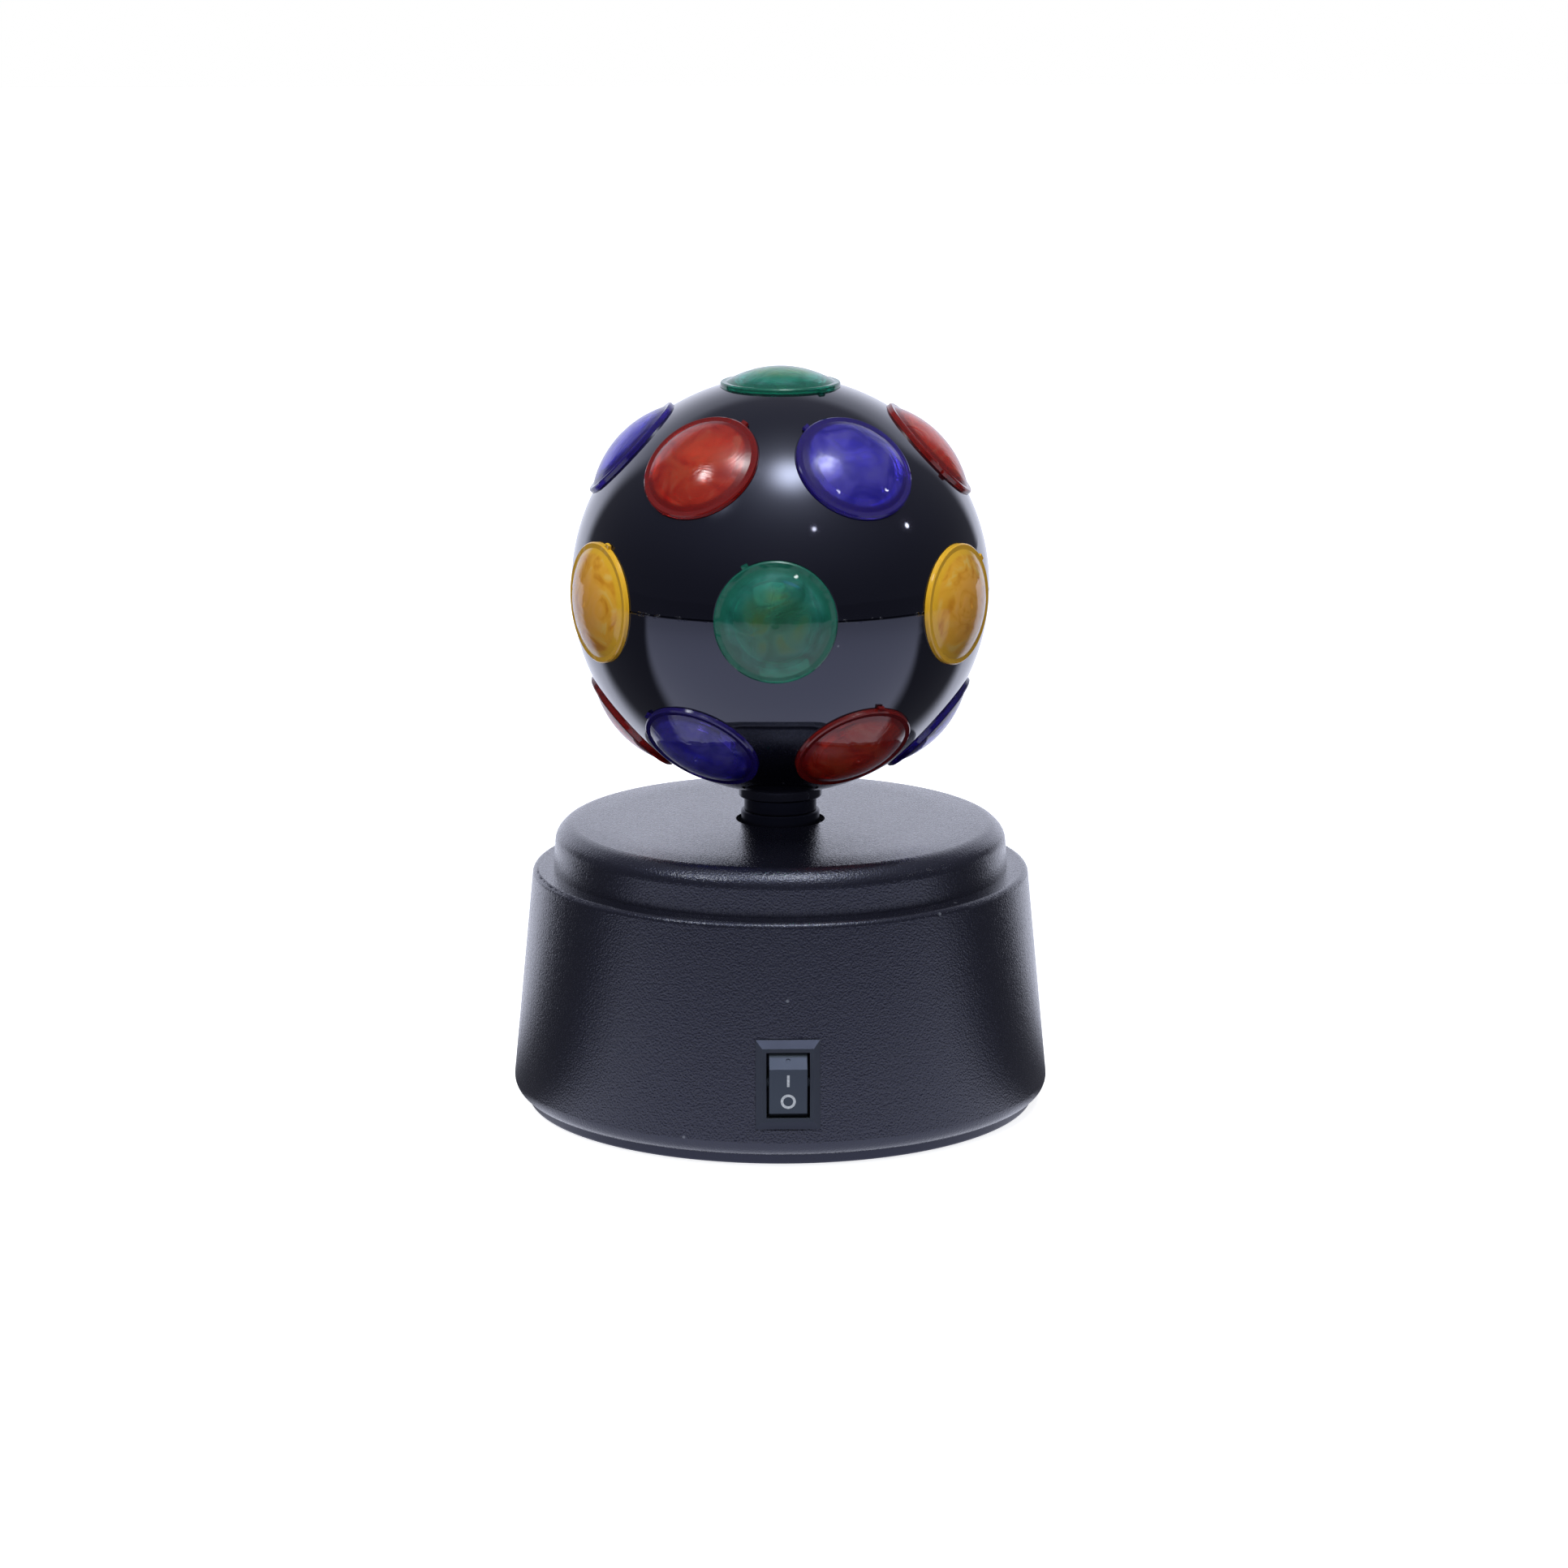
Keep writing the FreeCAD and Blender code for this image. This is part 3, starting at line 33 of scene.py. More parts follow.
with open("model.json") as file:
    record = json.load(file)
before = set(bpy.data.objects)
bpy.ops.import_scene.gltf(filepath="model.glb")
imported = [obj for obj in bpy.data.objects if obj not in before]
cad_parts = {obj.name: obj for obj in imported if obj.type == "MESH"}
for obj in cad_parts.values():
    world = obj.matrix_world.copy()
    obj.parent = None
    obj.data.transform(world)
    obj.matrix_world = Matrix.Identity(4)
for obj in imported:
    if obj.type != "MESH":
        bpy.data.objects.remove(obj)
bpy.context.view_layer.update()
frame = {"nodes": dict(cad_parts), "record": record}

import json
import math

import bpy
from bpy.props import FloatProperty, FloatVectorProperty, PointerProperty
from mathutils import Vector

# The photograph is square; its fitted camera is given in pixels of that frame
PHOTO_SIDE = 1932
PHOTO_CENTRE_X = 961.5
MM = 0.001

# Tint of what the black plastics mirror straight on; it fades out towards grazing angles
COOL_GLOSS = (0.55, 0.6, 1.0)
NO_TINT = (1, 1, 1)

# Dust as it shows on grained and on glossy plastic
DUST_ON_GRAIN = (0.25, 0.26, 0.29, 1)
DUST_ON_GLOSS = (0.3, 0.31, 0.34, 1)

PLASTIC_IOR = 1.5
GRAINED_IOR = 1.52
BALL_IOR = 1.6
ACRYLIC_IOR = 1.49
GLASS_IOR = 1.48
SKIN_IOR = 1.45

# Sink ripples in smooth mouldings, and the finest relief, as of drawn metal, ink and glass
RIPPLE_SIZE = 12 * MM
RIPPLE_DEPTH = 0.02 * MM
FAINT_RELIEF = 0.01 * MM

# Tones of the lenses: the flat rim, a painted glow for the middle of the dome, and the share of clearness that
# is set
LENS_TONES = {
    "green": ((0.03, 0.42, 0.28), (0.2, 0.42, 0.1), 1.04),
    "red": ((0.42, 0.015, 0.01), (0.95, 0.11, 0.035), 0.9),
    "blue": ((0.05, 0.025, 0.36), (0.2, 0.17, 0.95), 0.96),
    "yellow": ((1.0, 0.56, 0.03), (1.0, 0.47, 0.08), 0.35),
}

# Round soft lamps of the room: degrees round from the front, degrees up, degrees of spread, share of the power
SOFT_LAMPS = (
    (14, 72, 8.5, 0.85),
    (14, 72, 19, 0.12),
    (10, 60, 38, 0.012),
    (-56, 52, 5.5, 1.5),
)
# Small lamps that make glints: name, degrees round from the front, degrees up, width in metres, watts
SMALL_LAMPS = (
    ("small_front", 21, 39, 0.09, 0.3),
    ("small_side", 84, 26, 0.08, 0.4),
)
LAMP_DISTANCE = 2.4
WHITE = (1, 1, 1, 1)
ROOM_TINT = (0.88, 0.9, 1.12)
TABLE_SIZE = 6
SENSOR_WIDTH = 36

rocker_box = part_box("switch_rocker")
ball_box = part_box("ball_upper_shell")
BALL_RADIUS = (ball_box[1].x - ball_box[0].x) / 2
BALL_CENTRE_Z = ball_box[0].z


# Node tree helpers

def feed(tree, socket, value):
    """Links a socket to another node's output, or sets any other value on it."""
    if isinstance(value, bpy.types.NodeSocket):
        tree.links.new(value, socket)
    else:
        socket.default_value = value


def node(tree, kind, *values, settings=None, **named):
    """A new node; values go to its inputs by position or name, and None leaves an input as it is."""
    made = tree.nodes.new(kind)
    for key, value in (settings or {}).items():
        setattr(made, key, value)
    pairs = [(made.inputs[i], value) for i, value in enumerate(values)]
    pairs += [(made.inputs[key.replace("_", " ")], value) for key, value in named.items()]
    for socket, value in pairs:
        if value is not None:
            feed(tree, socket, value)
    return made


def calc(tree, operation, *values):
    """Result of a Math node."""
    return node(tree, "ShaderNodeMath", *values, settings={"operation": operation}).outputs[0]


def fade(tree, value, start, end, low=0.0, high=1.0):
    """Smooth change from low to high as a value goes from start to end."""
    made = node(tree, "ShaderNodeMapRange", value, start, end, low, high,
                settings={"interpolation_type": "SMOOTHSTEP"})
    return made.outputs[0]


def blend_colour(tree, factor, first, second):
    """Colour between two, by a factor."""
    made = node(tree, "ShaderNodeMix", settings={"data_type": "RGBA"})
    # The node has inputs for every kind of data: 0 is the factor, 6 and 7 are the colours
    for index, value in ((0, factor), (6, first), (7, second)):
        feed(tree, made.inputs[index], value)
    return made.outputs[2]


def scaled_colour(tree, colour, factor):
    """A colour times a factor that changes over the surface or the room."""
    made = node(tree, "ShaderNodeVectorMath", colour, Scale=factor, settings={"operation": "SCALE"})
    return made.outputs[0]


def noise(tree, place, size, detail=2.0, distortion=0.0):
    """Noise whose features are about size metres across."""
    made = node(tree, "ShaderNodeTexNoise", Vector=place, Scale=1 / size, Detail=detail, Distortion=distortion)
    return made.outputs["Fac"]


def solid(colour):
    """A colour property's value with full alpha."""
    return (colour[0], colour[1], colour[2], 1.0)


def toned(colour, factor):
    """A colour made darker or lighter by a factor, with full alpha."""
    return solid([c * factor for c in colour])


# Node groups for effects that several finishes share

def new_group(name, inputs, outputs):
    """Empty shader group with its sockets: (name, kind, default) inputs and (name, kind) outputs."""
    tree = bpy.data.node_groups.new(name, "ShaderNodeTree")
    for label, kind, default in inputs:
        socket = tree.interface.new_socket(name=label, in_out="INPUT", socket_type=kind)
        if default is not None:
            socket.default_value = default
    for label, kind in outputs:
        tree.interface.new_socket(name=label, in_out="OUTPUT", socket_type=kind)
    return tree, tree.nodes.new("NodeGroupInput"), tree.nodes.new("NodeGroupOutput")


def grain_group():
    """Spark-eroded mould grain: a height and a tone, with pits of a given size in metres."""
    tree, entry, out = new_group(
        "Moulded Grain",
        [("Vector", "NodeSocketVector", None), ("Size", "NodeSocketFloat", 1 * MM)],
        [("Height", "NodeSocketFloat"), ("Tone", "NodeSocketFloat")],
    )
    scale = calc(tree, "DIVIDE", 1.0, entry.outputs["Size"])
    warp = node(tree, "ShaderNodeTexNoise", Vector=entry.outputs["Vector"], Scale=scale, Detail=2.0)
    pits = node(tree, "ShaderNodeTexVoronoi", Vector=entry.outputs["Vector"], Scale=scale,
                settings={"feature": "SMOOTH_F1"})
    fine_scale = calc(tree, "MULTIPLY", scale, 2.7)
    fine = node(tree, "ShaderNodeTexNoise", Vector=entry.outputs["Vector"], Scale=fine_scale, Detail=1.0)
    rough = calc(tree, "MULTIPLY_ADD", warp.outputs["Fac"], 0.9, pits.outputs["Distance"])
    height = calc(tree, "MULTIPLY_ADD", fine.outputs["Fac"], 0.45, rough)
    tree.links.new(height, out.inputs["Height"])
    tree.links.new(fade(tree, height, 0.7, 1.5), out.inputs["Tone"])


def handling_group():
    """Wear of use: smudges that dull a gloss, and fine dust that has settled on it."""
    tree, entry, out = new_group(
        "Handling",
        [("Vector", "NodeSocketVector", None), ("Smudge Size", "NodeSocketFloat", 20 * MM),
         ("Dust Size", "NodeSocketFloat", 2 * MM)],
        [("Smudge", "NodeSocketFloat"), ("Dust", "NodeSocketFloat")],
    )
    smudge_scale = calc(tree, "DIVIDE", 1.0, entry.outputs["Smudge Size"])
    smudge = node(tree, "ShaderNodeTexNoise", Vector=entry.outputs["Vector"], Scale=smudge_scale, Detail=4.0,
                  Roughness=0.6)
    dust_scale = calc(tree, "DIVIDE", 1.0, entry.outputs["Dust Size"])
    specks = node(tree, "ShaderNodeTexVoronoi", Vector=entry.outputs["Vector"], Scale=dust_scale)
    rare = node(tree, "ShaderNodeSeparateColor", specks.outputs["Color"])
    chosen = calc(tree, "GREATER_THAN", rare.outputs[0], 0.97)
    small = fade(tree, specks.outputs["Distance"], 0.14, 0.05)
    tree.links.new(fade(tree, smudge.outputs["Fac"], 0.35, 0.75), out.inputs["Smudge"])
    tree.links.new(calc(tree, "MULTIPLY", chosen, small), out.inputs["Dust"])


def edge_group():
    """Edges rounded for shading: the rounded normal, and a mask that is 1 on the sharpest edges."""
    tree, entry, out = new_group(
        "Soft Edge",
        [("Radius", "NodeSocketFloat", 0.2 * MM)],
        [("Normal", "NodeSocketVector"), ("Edge", "NodeSocketFloat")],
    )
    bevel = node(tree, "ShaderNodeBevel", entry.outputs["Radius"], settings={"samples": 6})
    true_normal = tree.nodes.new("ShaderNodeNewGeometry").outputs["Normal"]
    same = node(tree, "ShaderNodeVectorMath", bevel.outputs[0], true_normal,
                settings={"operation": "DOT_PRODUCT"})
    tree.links.new(bevel.outputs[0], out.inputs["Normal"])
    tree.links.new(fade(tree, same.outputs["Value"], 0.995, 0.8), out.inputs["Edge"])


def use_group(tree, name, **named):
    """A shared group placed in a finish, with values of its own."""
    return node(tree, "ShaderNodeGroup", settings={"node_tree": bpy.data.node_groups[name]}, **named)


# Finishes

def new_finish(name):
    """Empty material with its output; returns the material, its tree and its Object coordinates."""
    material = bpy.data.materials.new(name)
    material.use_nodes = True
    tree = material.node_tree
    tree.nodes.clear()
    place = tree.nodes.new("ShaderNodeTexCoord").outputs["Object"]
    return material, tree, place


def finish_off(tree, shader):
    """Connects a shader to the material's output."""
    out = tree.nodes.new("ShaderNodeOutputMaterial")
    tree.links.new(shader, out.inputs["Surface"])


def bump(tree, height, depth, normal=None):
    """Normal of a surface with relief, depth in metres, on top of another normal where one is given."""
    made = node(tree, "ShaderNodeBump", Height=height, Distance=depth, Strength=1.0, Normal=normal)
    return made.outputs["Normal"]


def skin_gloss(shader, tint, weight, rough, ior):
    """Tint of a plastic's own gloss, and the smooth skin on top of it that brightens grazing views."""
    shader.inputs["Specular Tint"].default_value = solid(tint)
    shader.inputs["Coat Weight"].default_value = weight
    shader.inputs["Coat Roughness"].default_value = rough
    shader.inputs["Coat IOR"].default_value = ior


def grained_plastic(name, colour, grain_size, grain_depth, gloss, tint=COOL_GLOSS, skin=0.0):
    """Semi-matt moulded plastic with a fine mould grain and dust in it; skin weighs its sparkling top layer."""
    material, tree, place = new_finish(name)
    grain = use_group(tree, "Moulded Grain", Vector=place, Size=grain_size)
    care = use_group(tree, "Handling", Vector=place, Smudge_Size=30 * MM, Dust_Size=4 * MM)
    drift = fade(tree, noise(tree, place, 40 * MM, 3.0), 0.3, 0.7, 0.0, 0.35)
    dust = calc(tree, "MULTIPLY", care.outputs["Dust"], 0.5)
    base = blend_colour(tree, grain.outputs["Tone"], toned(colour, 1.25), toned(colour, 0.8))
    base = blend_colour(tree, drift, base, toned(colour, 1.4))
    base = blend_colour(tree, dust, base, DUST_ON_GRAIN)
    rough = fade(tree, grain.outputs["Tone"], 0.0, 1.0, gloss - 0.05, gloss + 0.08)
    rough = calc(tree, "MULTIPLY_ADD", care.outputs["Smudge"], 0.05, rough)
    shader = node(tree, "ShaderNodeBsdfPrincipled", Base_Color=base, Roughness=rough, IOR=GRAINED_IOR,
                  Normal=bump(tree, grain.outputs["Height"], grain_depth))
    if skin:
        sparkle = bump(tree, noise(tree, place, grain_size, 1.0), 1.5 * grain_depth)
        tree.links.new(sparkle, shader.inputs["Coat Normal"])
    skin_gloss(shader, tint, skin, gloss * 0.7, GRAINED_IOR)
    finish_off(tree, shader.outputs[0])
    return material


def flash_crumbs(tree, place, seam_z):
    """Crumbs of moulding flash along a level seam: 1 on a crumb and 0 elsewhere."""
    z = node(tree, "ShaderNodeSeparateXYZ", place).outputs[2]
    off_seam = calc(tree, "ABSOLUTE", calc(tree, "SUBTRACT", z, seam_z))
    near_seam = fade(tree, off_seam, 0.6 * MM, 0.1 * MM)
    lump = fade(tree, noise(tree, place, 2.6 * MM, 1.0), 0.58, 0.66)
    return calc(tree, "MULTIPLY", near_seam, lump)


def polished_plastic(name, colour, gloss, relief, ior=PLASTIC_IOR, edge=None, skin=0.0, flash_z=None):
    """Smooth moulded plastic with faint sink ripples, smudges and dust.

    relief is the ripples' depth, edge the radius that rounds its edges for shading and lightens them, partly as
    wear and partly as a painted highlight, skin the weight of its top layer, and flash_z the height of a seam
    with crumbs of flash on that layer.
    """
    material, tree, place = new_finish(name)
    care = use_group(tree, "Handling", Vector=place, Smudge_Size=18 * MM, Dust_Size=3 * MM)
    ripple = noise(tree, place, RIPPLE_SIZE, 1.0)
    dust = calc(tree, "MULTIPLY", care.outputs["Dust"], 0.35)
    base = blend_colour(tree, dust, solid(colour), DUST_ON_GLOSS)
    rough = fade(tree, care.outputs["Smudge"], 0.0, 1.0, gloss, gloss + 0.06)
    normal = None
    if edge:
        soft = use_group(tree, "Soft Edge", Radius=edge)
        normal = soft.outputs["Normal"]
        # Lightened edges: partly wear, partly a painted highlight where the edges catch the light
        worn_edge_highlight = solid([min(1.0, 0.05 + c * 1.5) for c in colour])
        base = blend_colour(tree, calc(tree, "MULTIPLY", soft.outputs["Edge"], 0.4), base, worn_edge_highlight)
    shader = node(tree, "ShaderNodeBsdfPrincipled", Base_Color=base, Roughness=rough, IOR=ior,
                  Normal=bump(tree, ripple, relief, normal))
    if skin:
        skin_relief = bump(tree, ripple, relief)
        if flash_z is not None:
            skin_relief = bump(tree, flash_crumbs(tree, place, flash_z), 0.8 * MM, skin_relief)
        tree.links.new(skin_relief, shader.inputs["Coat Normal"])
    skin_gloss(shader, COOL_GLOSS, skin, gloss, SKIN_IOR)
    finish_off(tree, shader.outputs[0])
    return material


def tinted_lens(name, colour, rim_colour, heart_glow_colour, clearness):
    """Tinted acrylic with faint flow relief, painted light and shade in streaks inside, and a polished skin.

    The flat rim has a colour of its own; the middle of the dome gets a painted glow in its streaks.
    """
    material, tree, place = new_finish(name)
    care = use_group(tree, "Handling", Vector=place, Smudge_Size=8 * MM, Dust_Size=2.5 * MM)
    from_ball = node(tree, "ShaderNodeVectorMath", place, (0, 0, -BALL_CENTRE_Z),
                     settings={"operation": "ADD"}).outputs[0]
    away = node(tree, "ShaderNodeVectorMath", from_ball, settings={"operation": "LENGTH"}).outputs["Value"]
    rim = fade(tree, away, BALL_RADIUS + 1.25 * MM, BALL_RADIUS + 1.0 * MM)
    crown = fade(tree, away, BALL_RADIUS + 1.6 * MM, BALL_RADIUS + 2.4 * MM)
    flow_and_glow = noise(tree, place, 8 * MM, distortion=1.6)
    # Painted light and shade inside the lens: a darker copy of the tint, lighter painted-glow streaks, and a
    # painted glow in the middle of the dome
    painted_shade_tint = solid([c ** 1.4 * 0.75 for c in colour])
    glow = solid([c ** 0.6 for c in colour])
    painted_glow_streak = calc(tree, "MULTIPLY", fade(tree, flow_and_glow, 0.54, 0.68), 0.75)
    heart_glow = calc(tree, "MULTIPLY", crown, fade(tree, flow_and_glow, 0.4, 0.62, 0.25, 0.9))
    base = blend_colour(tree, fade(tree, flow_and_glow, 0.3, 0.55), painted_shade_tint, solid(colour))
    base = blend_colour(tree, painted_glow_streak, base, glow)
    base = blend_colour(tree, heart_glow, base, solid(heart_glow_colour))
    base = blend_colour(tree, rim, base, solid(rim_colour))
    rough = fade(tree, care.outputs["Smudge"], 0.0, 1.0, 0.04, 0.1)
    relief = bump(tree, flow_and_glow, 0.12 * MM)
    shader = node(tree, "ShaderNodeBsdfPrincipled", Base_Color=base, Roughness=rough, IOR=ACRYLIC_IOR,
                  Transmission_Weight=clearness, Normal=relief, Coat_Normal=relief)
    skin_gloss(shader, NO_TINT, 0.35, 0.05, SKIN_IOR)
    finish_off(tree, shader.outputs[0])
    return material


def metal(name, colour, rough_low, rough_high, streak):
    """Bare metal with dull patches and drawing streaks; streak is small on the axis that they run along."""
    material, tree, place = new_finish(name)
    stretch = node(tree, "ShaderNodeMapping", place, Scale=streak, settings={"vector_type": "POINT"})
    lines = noise(tree, stretch.outputs[0], 0.4 * MM, 3.0)
    patches = noise(tree, place, 3 * MM, 3.0)
    base = blend_colour(tree, fade(tree, patches, 0.3, 0.7), solid(colour), toned(colour, 0.75))
    rough = fade(tree, lines, 0.3, 0.7, rough_low, rough_high)
    shader = node(tree, "ShaderNodeBsdfPrincipled", Base_Color=base, Roughness=rough, Metallic=1.0,
                  Normal=bump(tree, lines, FAINT_RELIEF))
    finish_off(tree, shader.outputs[0])
    return material


def clear_glass(name, colour):
    """Thin blown glass with faint draw lines."""
    material, tree, place = new_finish(name)
    swirl = noise(tree, place, 4 * MM)
    rough = fade(tree, swirl, 0.3, 0.7, 0.0, 0.03)
    shader = node(tree, "ShaderNodeBsdfPrincipled", Base_Color=solid(colour), Roughness=rough, IOR=GLASS_IOR,
                  Transmission_Weight=1.0, Normal=bump(tree, swirl, FAINT_RELIEF))
    finish_off(tree, shader.outputs[0])
    return material


def rubber(name, colour):
    """Soft rubber with a chalky bloom."""
    material, tree, place = new_finish(name)
    grain = use_group(tree, "Moulded Grain", Vector=place, Size=0.5 * MM)
    bloom = noise(tree, place, 2 * MM, 4.0)
    base = blend_colour(tree, fade(tree, bloom, 0.4, 0.7), solid(colour), toned(colour, 1.8))
    shader = node(tree, "ShaderNodeBsdfPrincipled", Base_Color=base, Roughness=0.75,
                  Normal=bump(tree, grain.outputs["Height"], 0.03 * MM))
    finish_off(tree, shader.outputs[0])
    return material


def paint_nodes(slots):
    """Gives every frame node of these material slots its finish: {slot: material}."""
    for part in frame["record"]["subparts"]:
        material = slots.get(part["material_slot"])
        if material is None:
            continue
        data = frame["nodes"][part["node"]].data
        data.materials.clear()
        data.materials.append(material)


# Settings that a user would change

class LampFinishSettings(bpy.types.PropertyGroup):
    """Colours and textures of the lamp's parts."""
    base_colour: FloatVectorProperty(
        name="Base Plastic", description="Colour of the grained plastic of body and cap",
        default=(0.006, 0.006, 0.0105), subtype="COLOR", min=0, max=1)
    ball_colour: FloatVectorProperty(
        name="Ball Plastic", description="Colour of the polished plastic of the ball",
        default=(0.0025, 0.0025, 0.0048), subtype="COLOR", min=0, max=1)
    green: FloatVectorProperty(
        name="Green Lens", description="Tint of the green lenses",
        default=(0.06, 0.57, 0.43), subtype="COLOR", min=0, max=1)
    red: FloatVectorProperty(
        name="Red Lens", description="Tint of the red lenses",
        default=(0.88, 0.055, 0.02), subtype="COLOR", min=0, max=1)
    blue: FloatVectorProperty(
        name="Blue Lens", description="Tint of the blue lenses",
        default=(0.12, 0.09, 0.9), subtype="COLOR", min=0, max=1)
    yellow: FloatVectorProperty(
        name="Yellow Lens", description="Tint of the yellow lenses",
        default=(1.0, 0.5, 0.04), subtype="COLOR", min=0, max=1)
    clearness: FloatProperty(
        name="Lens Clearness", description="Share of light that passes the lenses without being scattered",
        default=0.78, min=0, max=1, subtype="FACTOR")
    grain_size: FloatProperty(
        name="Grain Size", description="Distance between the pits of the mould grain",
        default=0.45 * MM, min=0.1 * MM, max=5 * MM, unit="LENGTH", precision=5)
    grain_depth: FloatProperty(
        name="Grain Depth", description="Depth of the pits of the mould grain",
        default=0.07 * MM, min=0, max=1 * MM, unit="LENGTH", precision=6)


class SwitchMarkSettings(bpy.types.PropertyGroup):
    """The white on and off marks printed on the rocker."""
    line_width: FloatProperty(
        name="Line Width", description="Width of the printed lines",
        default=0.6 * MM, min=0.1 * MM, max=2 * MM, unit="LENGTH", precision=5)
    bar_height: FloatProperty(
        name="Bar Height", description="Height of the on mark",
        default=2.9 * MM, min=1 * MM, max=6 * MM, unit="LENGTH", precision=5)
    ring_radius: FloatProperty(
        name="Ring Radius", description="Outer radius of the off mark",
        default=1.75 * MM, min=0.5 * MM, max=4 * MM, unit="LENGTH", precision=5)
    bar_z: FloatProperty(
        name="Bar Place", description="Height of the on mark's middle above the table",
        default=22.2 * MM, min=0, max=60 * MM, unit="LENGTH", precision=5)
    ring_z: FloatProperty(
        name="Ring Place", description="Height of the off mark's middle above the table",
        default=17.1 * MM, min=0, max=60 * MM, unit="LENGTH", precision=5)
    print_thickness: FloatProperty(
        name="Print Thickness", description="How far the print stands on the rocker's face",
        default=0.03 * MM, min=0.005 * MM, max=0.2 * MM, unit="LENGTH", precision=6)


class StudioSettings(bpy.types.PropertyGroup):
    """Camera, lights and surroundings."""
    camera_height: FloatProperty(
        name="Camera Height", description="Height of the camera above the table",
        default=0.3433, min=0, max=3, unit="LENGTH")
    camera_distance: FloatProperty(
        name="Camera Distance", description="Level distance from the lamp's axis to the camera",
        default=1.2, min=0.2, max=5, unit="LENGTH")
    camera_turn: FloatProperty(
        name="Camera Turn", description="Angle of the camera round the lamp, from its front",
        default=math.radians(-1.6), subtype="ANGLE")
    camera_pitch: FloatProperty(
        name="Camera Pitch", description="How far the camera looks down",
        default=math.radians(12.4693), subtype="ANGLE")
    focal_length: FloatProperty(
        name="Focal Length", description="Focal length of the camera's lens in millimetres",
        default=116.914, min=10, max=300)
    lamp_power: FloatProperty(
        name="Soft Lamps", description="Brightness of the middle of the main round soft lamp",
        default=10.5, min=0, max=100)
    fill_power: FloatProperty(
        name="Fill Light", description="Power of the wide light above that evens out the shading",
        default=22.0, min=0, max=500, unit="POWER")
    front_power: FloatProperty(
        name="Front Fill", description="Power of the wide light in front that shows the colours of the lenses",
        default=16.0, min=0, max=500, unit="POWER")
    lamp_colour: FloatVectorProperty(
        name="Lamp Colour", description="Colour of the round soft lamps",
        default=(0.92, 0.97, 1.0), subtype="COLOR", min=0, max=1)
    room_level: FloatProperty(
        name="Room Level", description="Brightness of the dark room in front of the table",
        default=0.13, min=0, max=1)
    cool_white: FloatVectorProperty(
        name="Backdrop", description="Colour that the white backdrop and table have in reflections",
        default=(0.82, 0.85, 1.0), subtype="COLOR", min=0, max=1)


# Pieces

def select_only(obj):
    """Selects one object and nothing else."""
    bpy.ops.object.select_all(action="DESELECT")
    obj.select_set(True)
    bpy.context.view_layer.objects.active = obj


def apply_all(obj):
    """Applies every modifier of a piece and its place, so that it sits at the origin."""
    select_only(obj)
    for modifier in list(obj.modifiers):
        bpy.ops.object.modifier_apply(modifier=modifier.name)
    bpy.ops.object.transform_apply(location=True, rotation=True, scale=True)


def laid_on_rocker(obj, thickness):
    """Wraps a flat mark on the rocker's face and gives it the print's thickness."""
    bpy.ops.object.transform_apply(location=True, rotation=True, scale=True)
    wrap = obj.modifiers.new("On Rocker", "SHRINKWRAP")
    wrap.target = frame["nodes"]["switch_rocker"]
    wrap.wrap_method = "PROJECT"
    wrap.use_project_y = True
    wrap.use_negative_direction = True
    wrap.use_positive_direction = True
    wrap.offset = thickness
    skin = obj.modifiers.new("Print", "SOLIDIFY")
    skin.thickness = 2 * thickness
    skin.offset = -1
    apply_all(obj)


def finish_mark(obj, name, material):
    """Names a mark, gives it its paint and lets it ride on the rocker."""
    obj.name = name
    obj.data.name = name
    obj.data.materials.clear()
    obj.data.materials.append(material)
    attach(obj, "rocker")


class LAMP_OT_finish_base(bpy.types.Operator):
    """Give the base, its plate, feet and screws their finishes"""
    bl_idname = "lamp.finish_base"
    bl_label = "Finish Base"

    def execute(self, context):
        look = context.scene.lamp_finish
        paint_nodes({
            "grained_black": grained_plastic("Grained Black", look.base_colour, look.grain_size,
                                             look.grain_depth, 0.21, skin=0.9),
            "plate_black": grained_plastic("Plate Black", look.base_colour, look.grain_size / 2,
                                           look.grain_depth / 4, 0.35, skin=0.5),
            "foot_rubber": rubber("Foot Rubber", (0.02, 0.02, 0.021)),
            "screw_steel": metal("Screw Steel", (0.42, 0.42, 0.44), 0.25, 0.45, (1, 1, 1)),
        })
        return {"FINISHED"}


class LAMP_OT_finish_ball(bpy.types.Operator):
    """Give the ball, its neck and the neck's bush their finishes"""
    bl_idname = "lamp.finish_ball"
    bl_label = "Finish Ball"

    def execute(self, context):
        look = context.scene.lamp_finish
        paint_nodes({
            "gloss_black": polished_plastic("Gloss Black", look.ball_colour, 0.05, RIPPLE_DEPTH, BALL_IOR,
                                           skin=1.0, flash_z=BALL_CENTRE_Z),
            "neck_black": polished_plastic("Neck Black", look.base_colour, 0.28, RIPPLE_DEPTH,
                                           edge=0.15 * MM),
        })
        return {"FINISHED"}


class LAMP_OT_finish_lenses(bpy.types.Operator):
    """Give the coloured lenses their tinted acrylic"""
    bl_idname = "lamp.finish_lenses"
    bl_label = "Finish Lenses"

    def execute(self, context):
        look = context.scene.lamp_finish
        paint_nodes({
            tint + "_lens": tinted_lens(tint.title() + " Lens", getattr(look, tint), rim, heart_glow,
                                        look.clearness * share)
            for tint, (rim, heart_glow, share) in LENS_TONES.items()
        })
        return {"FINISHED"}


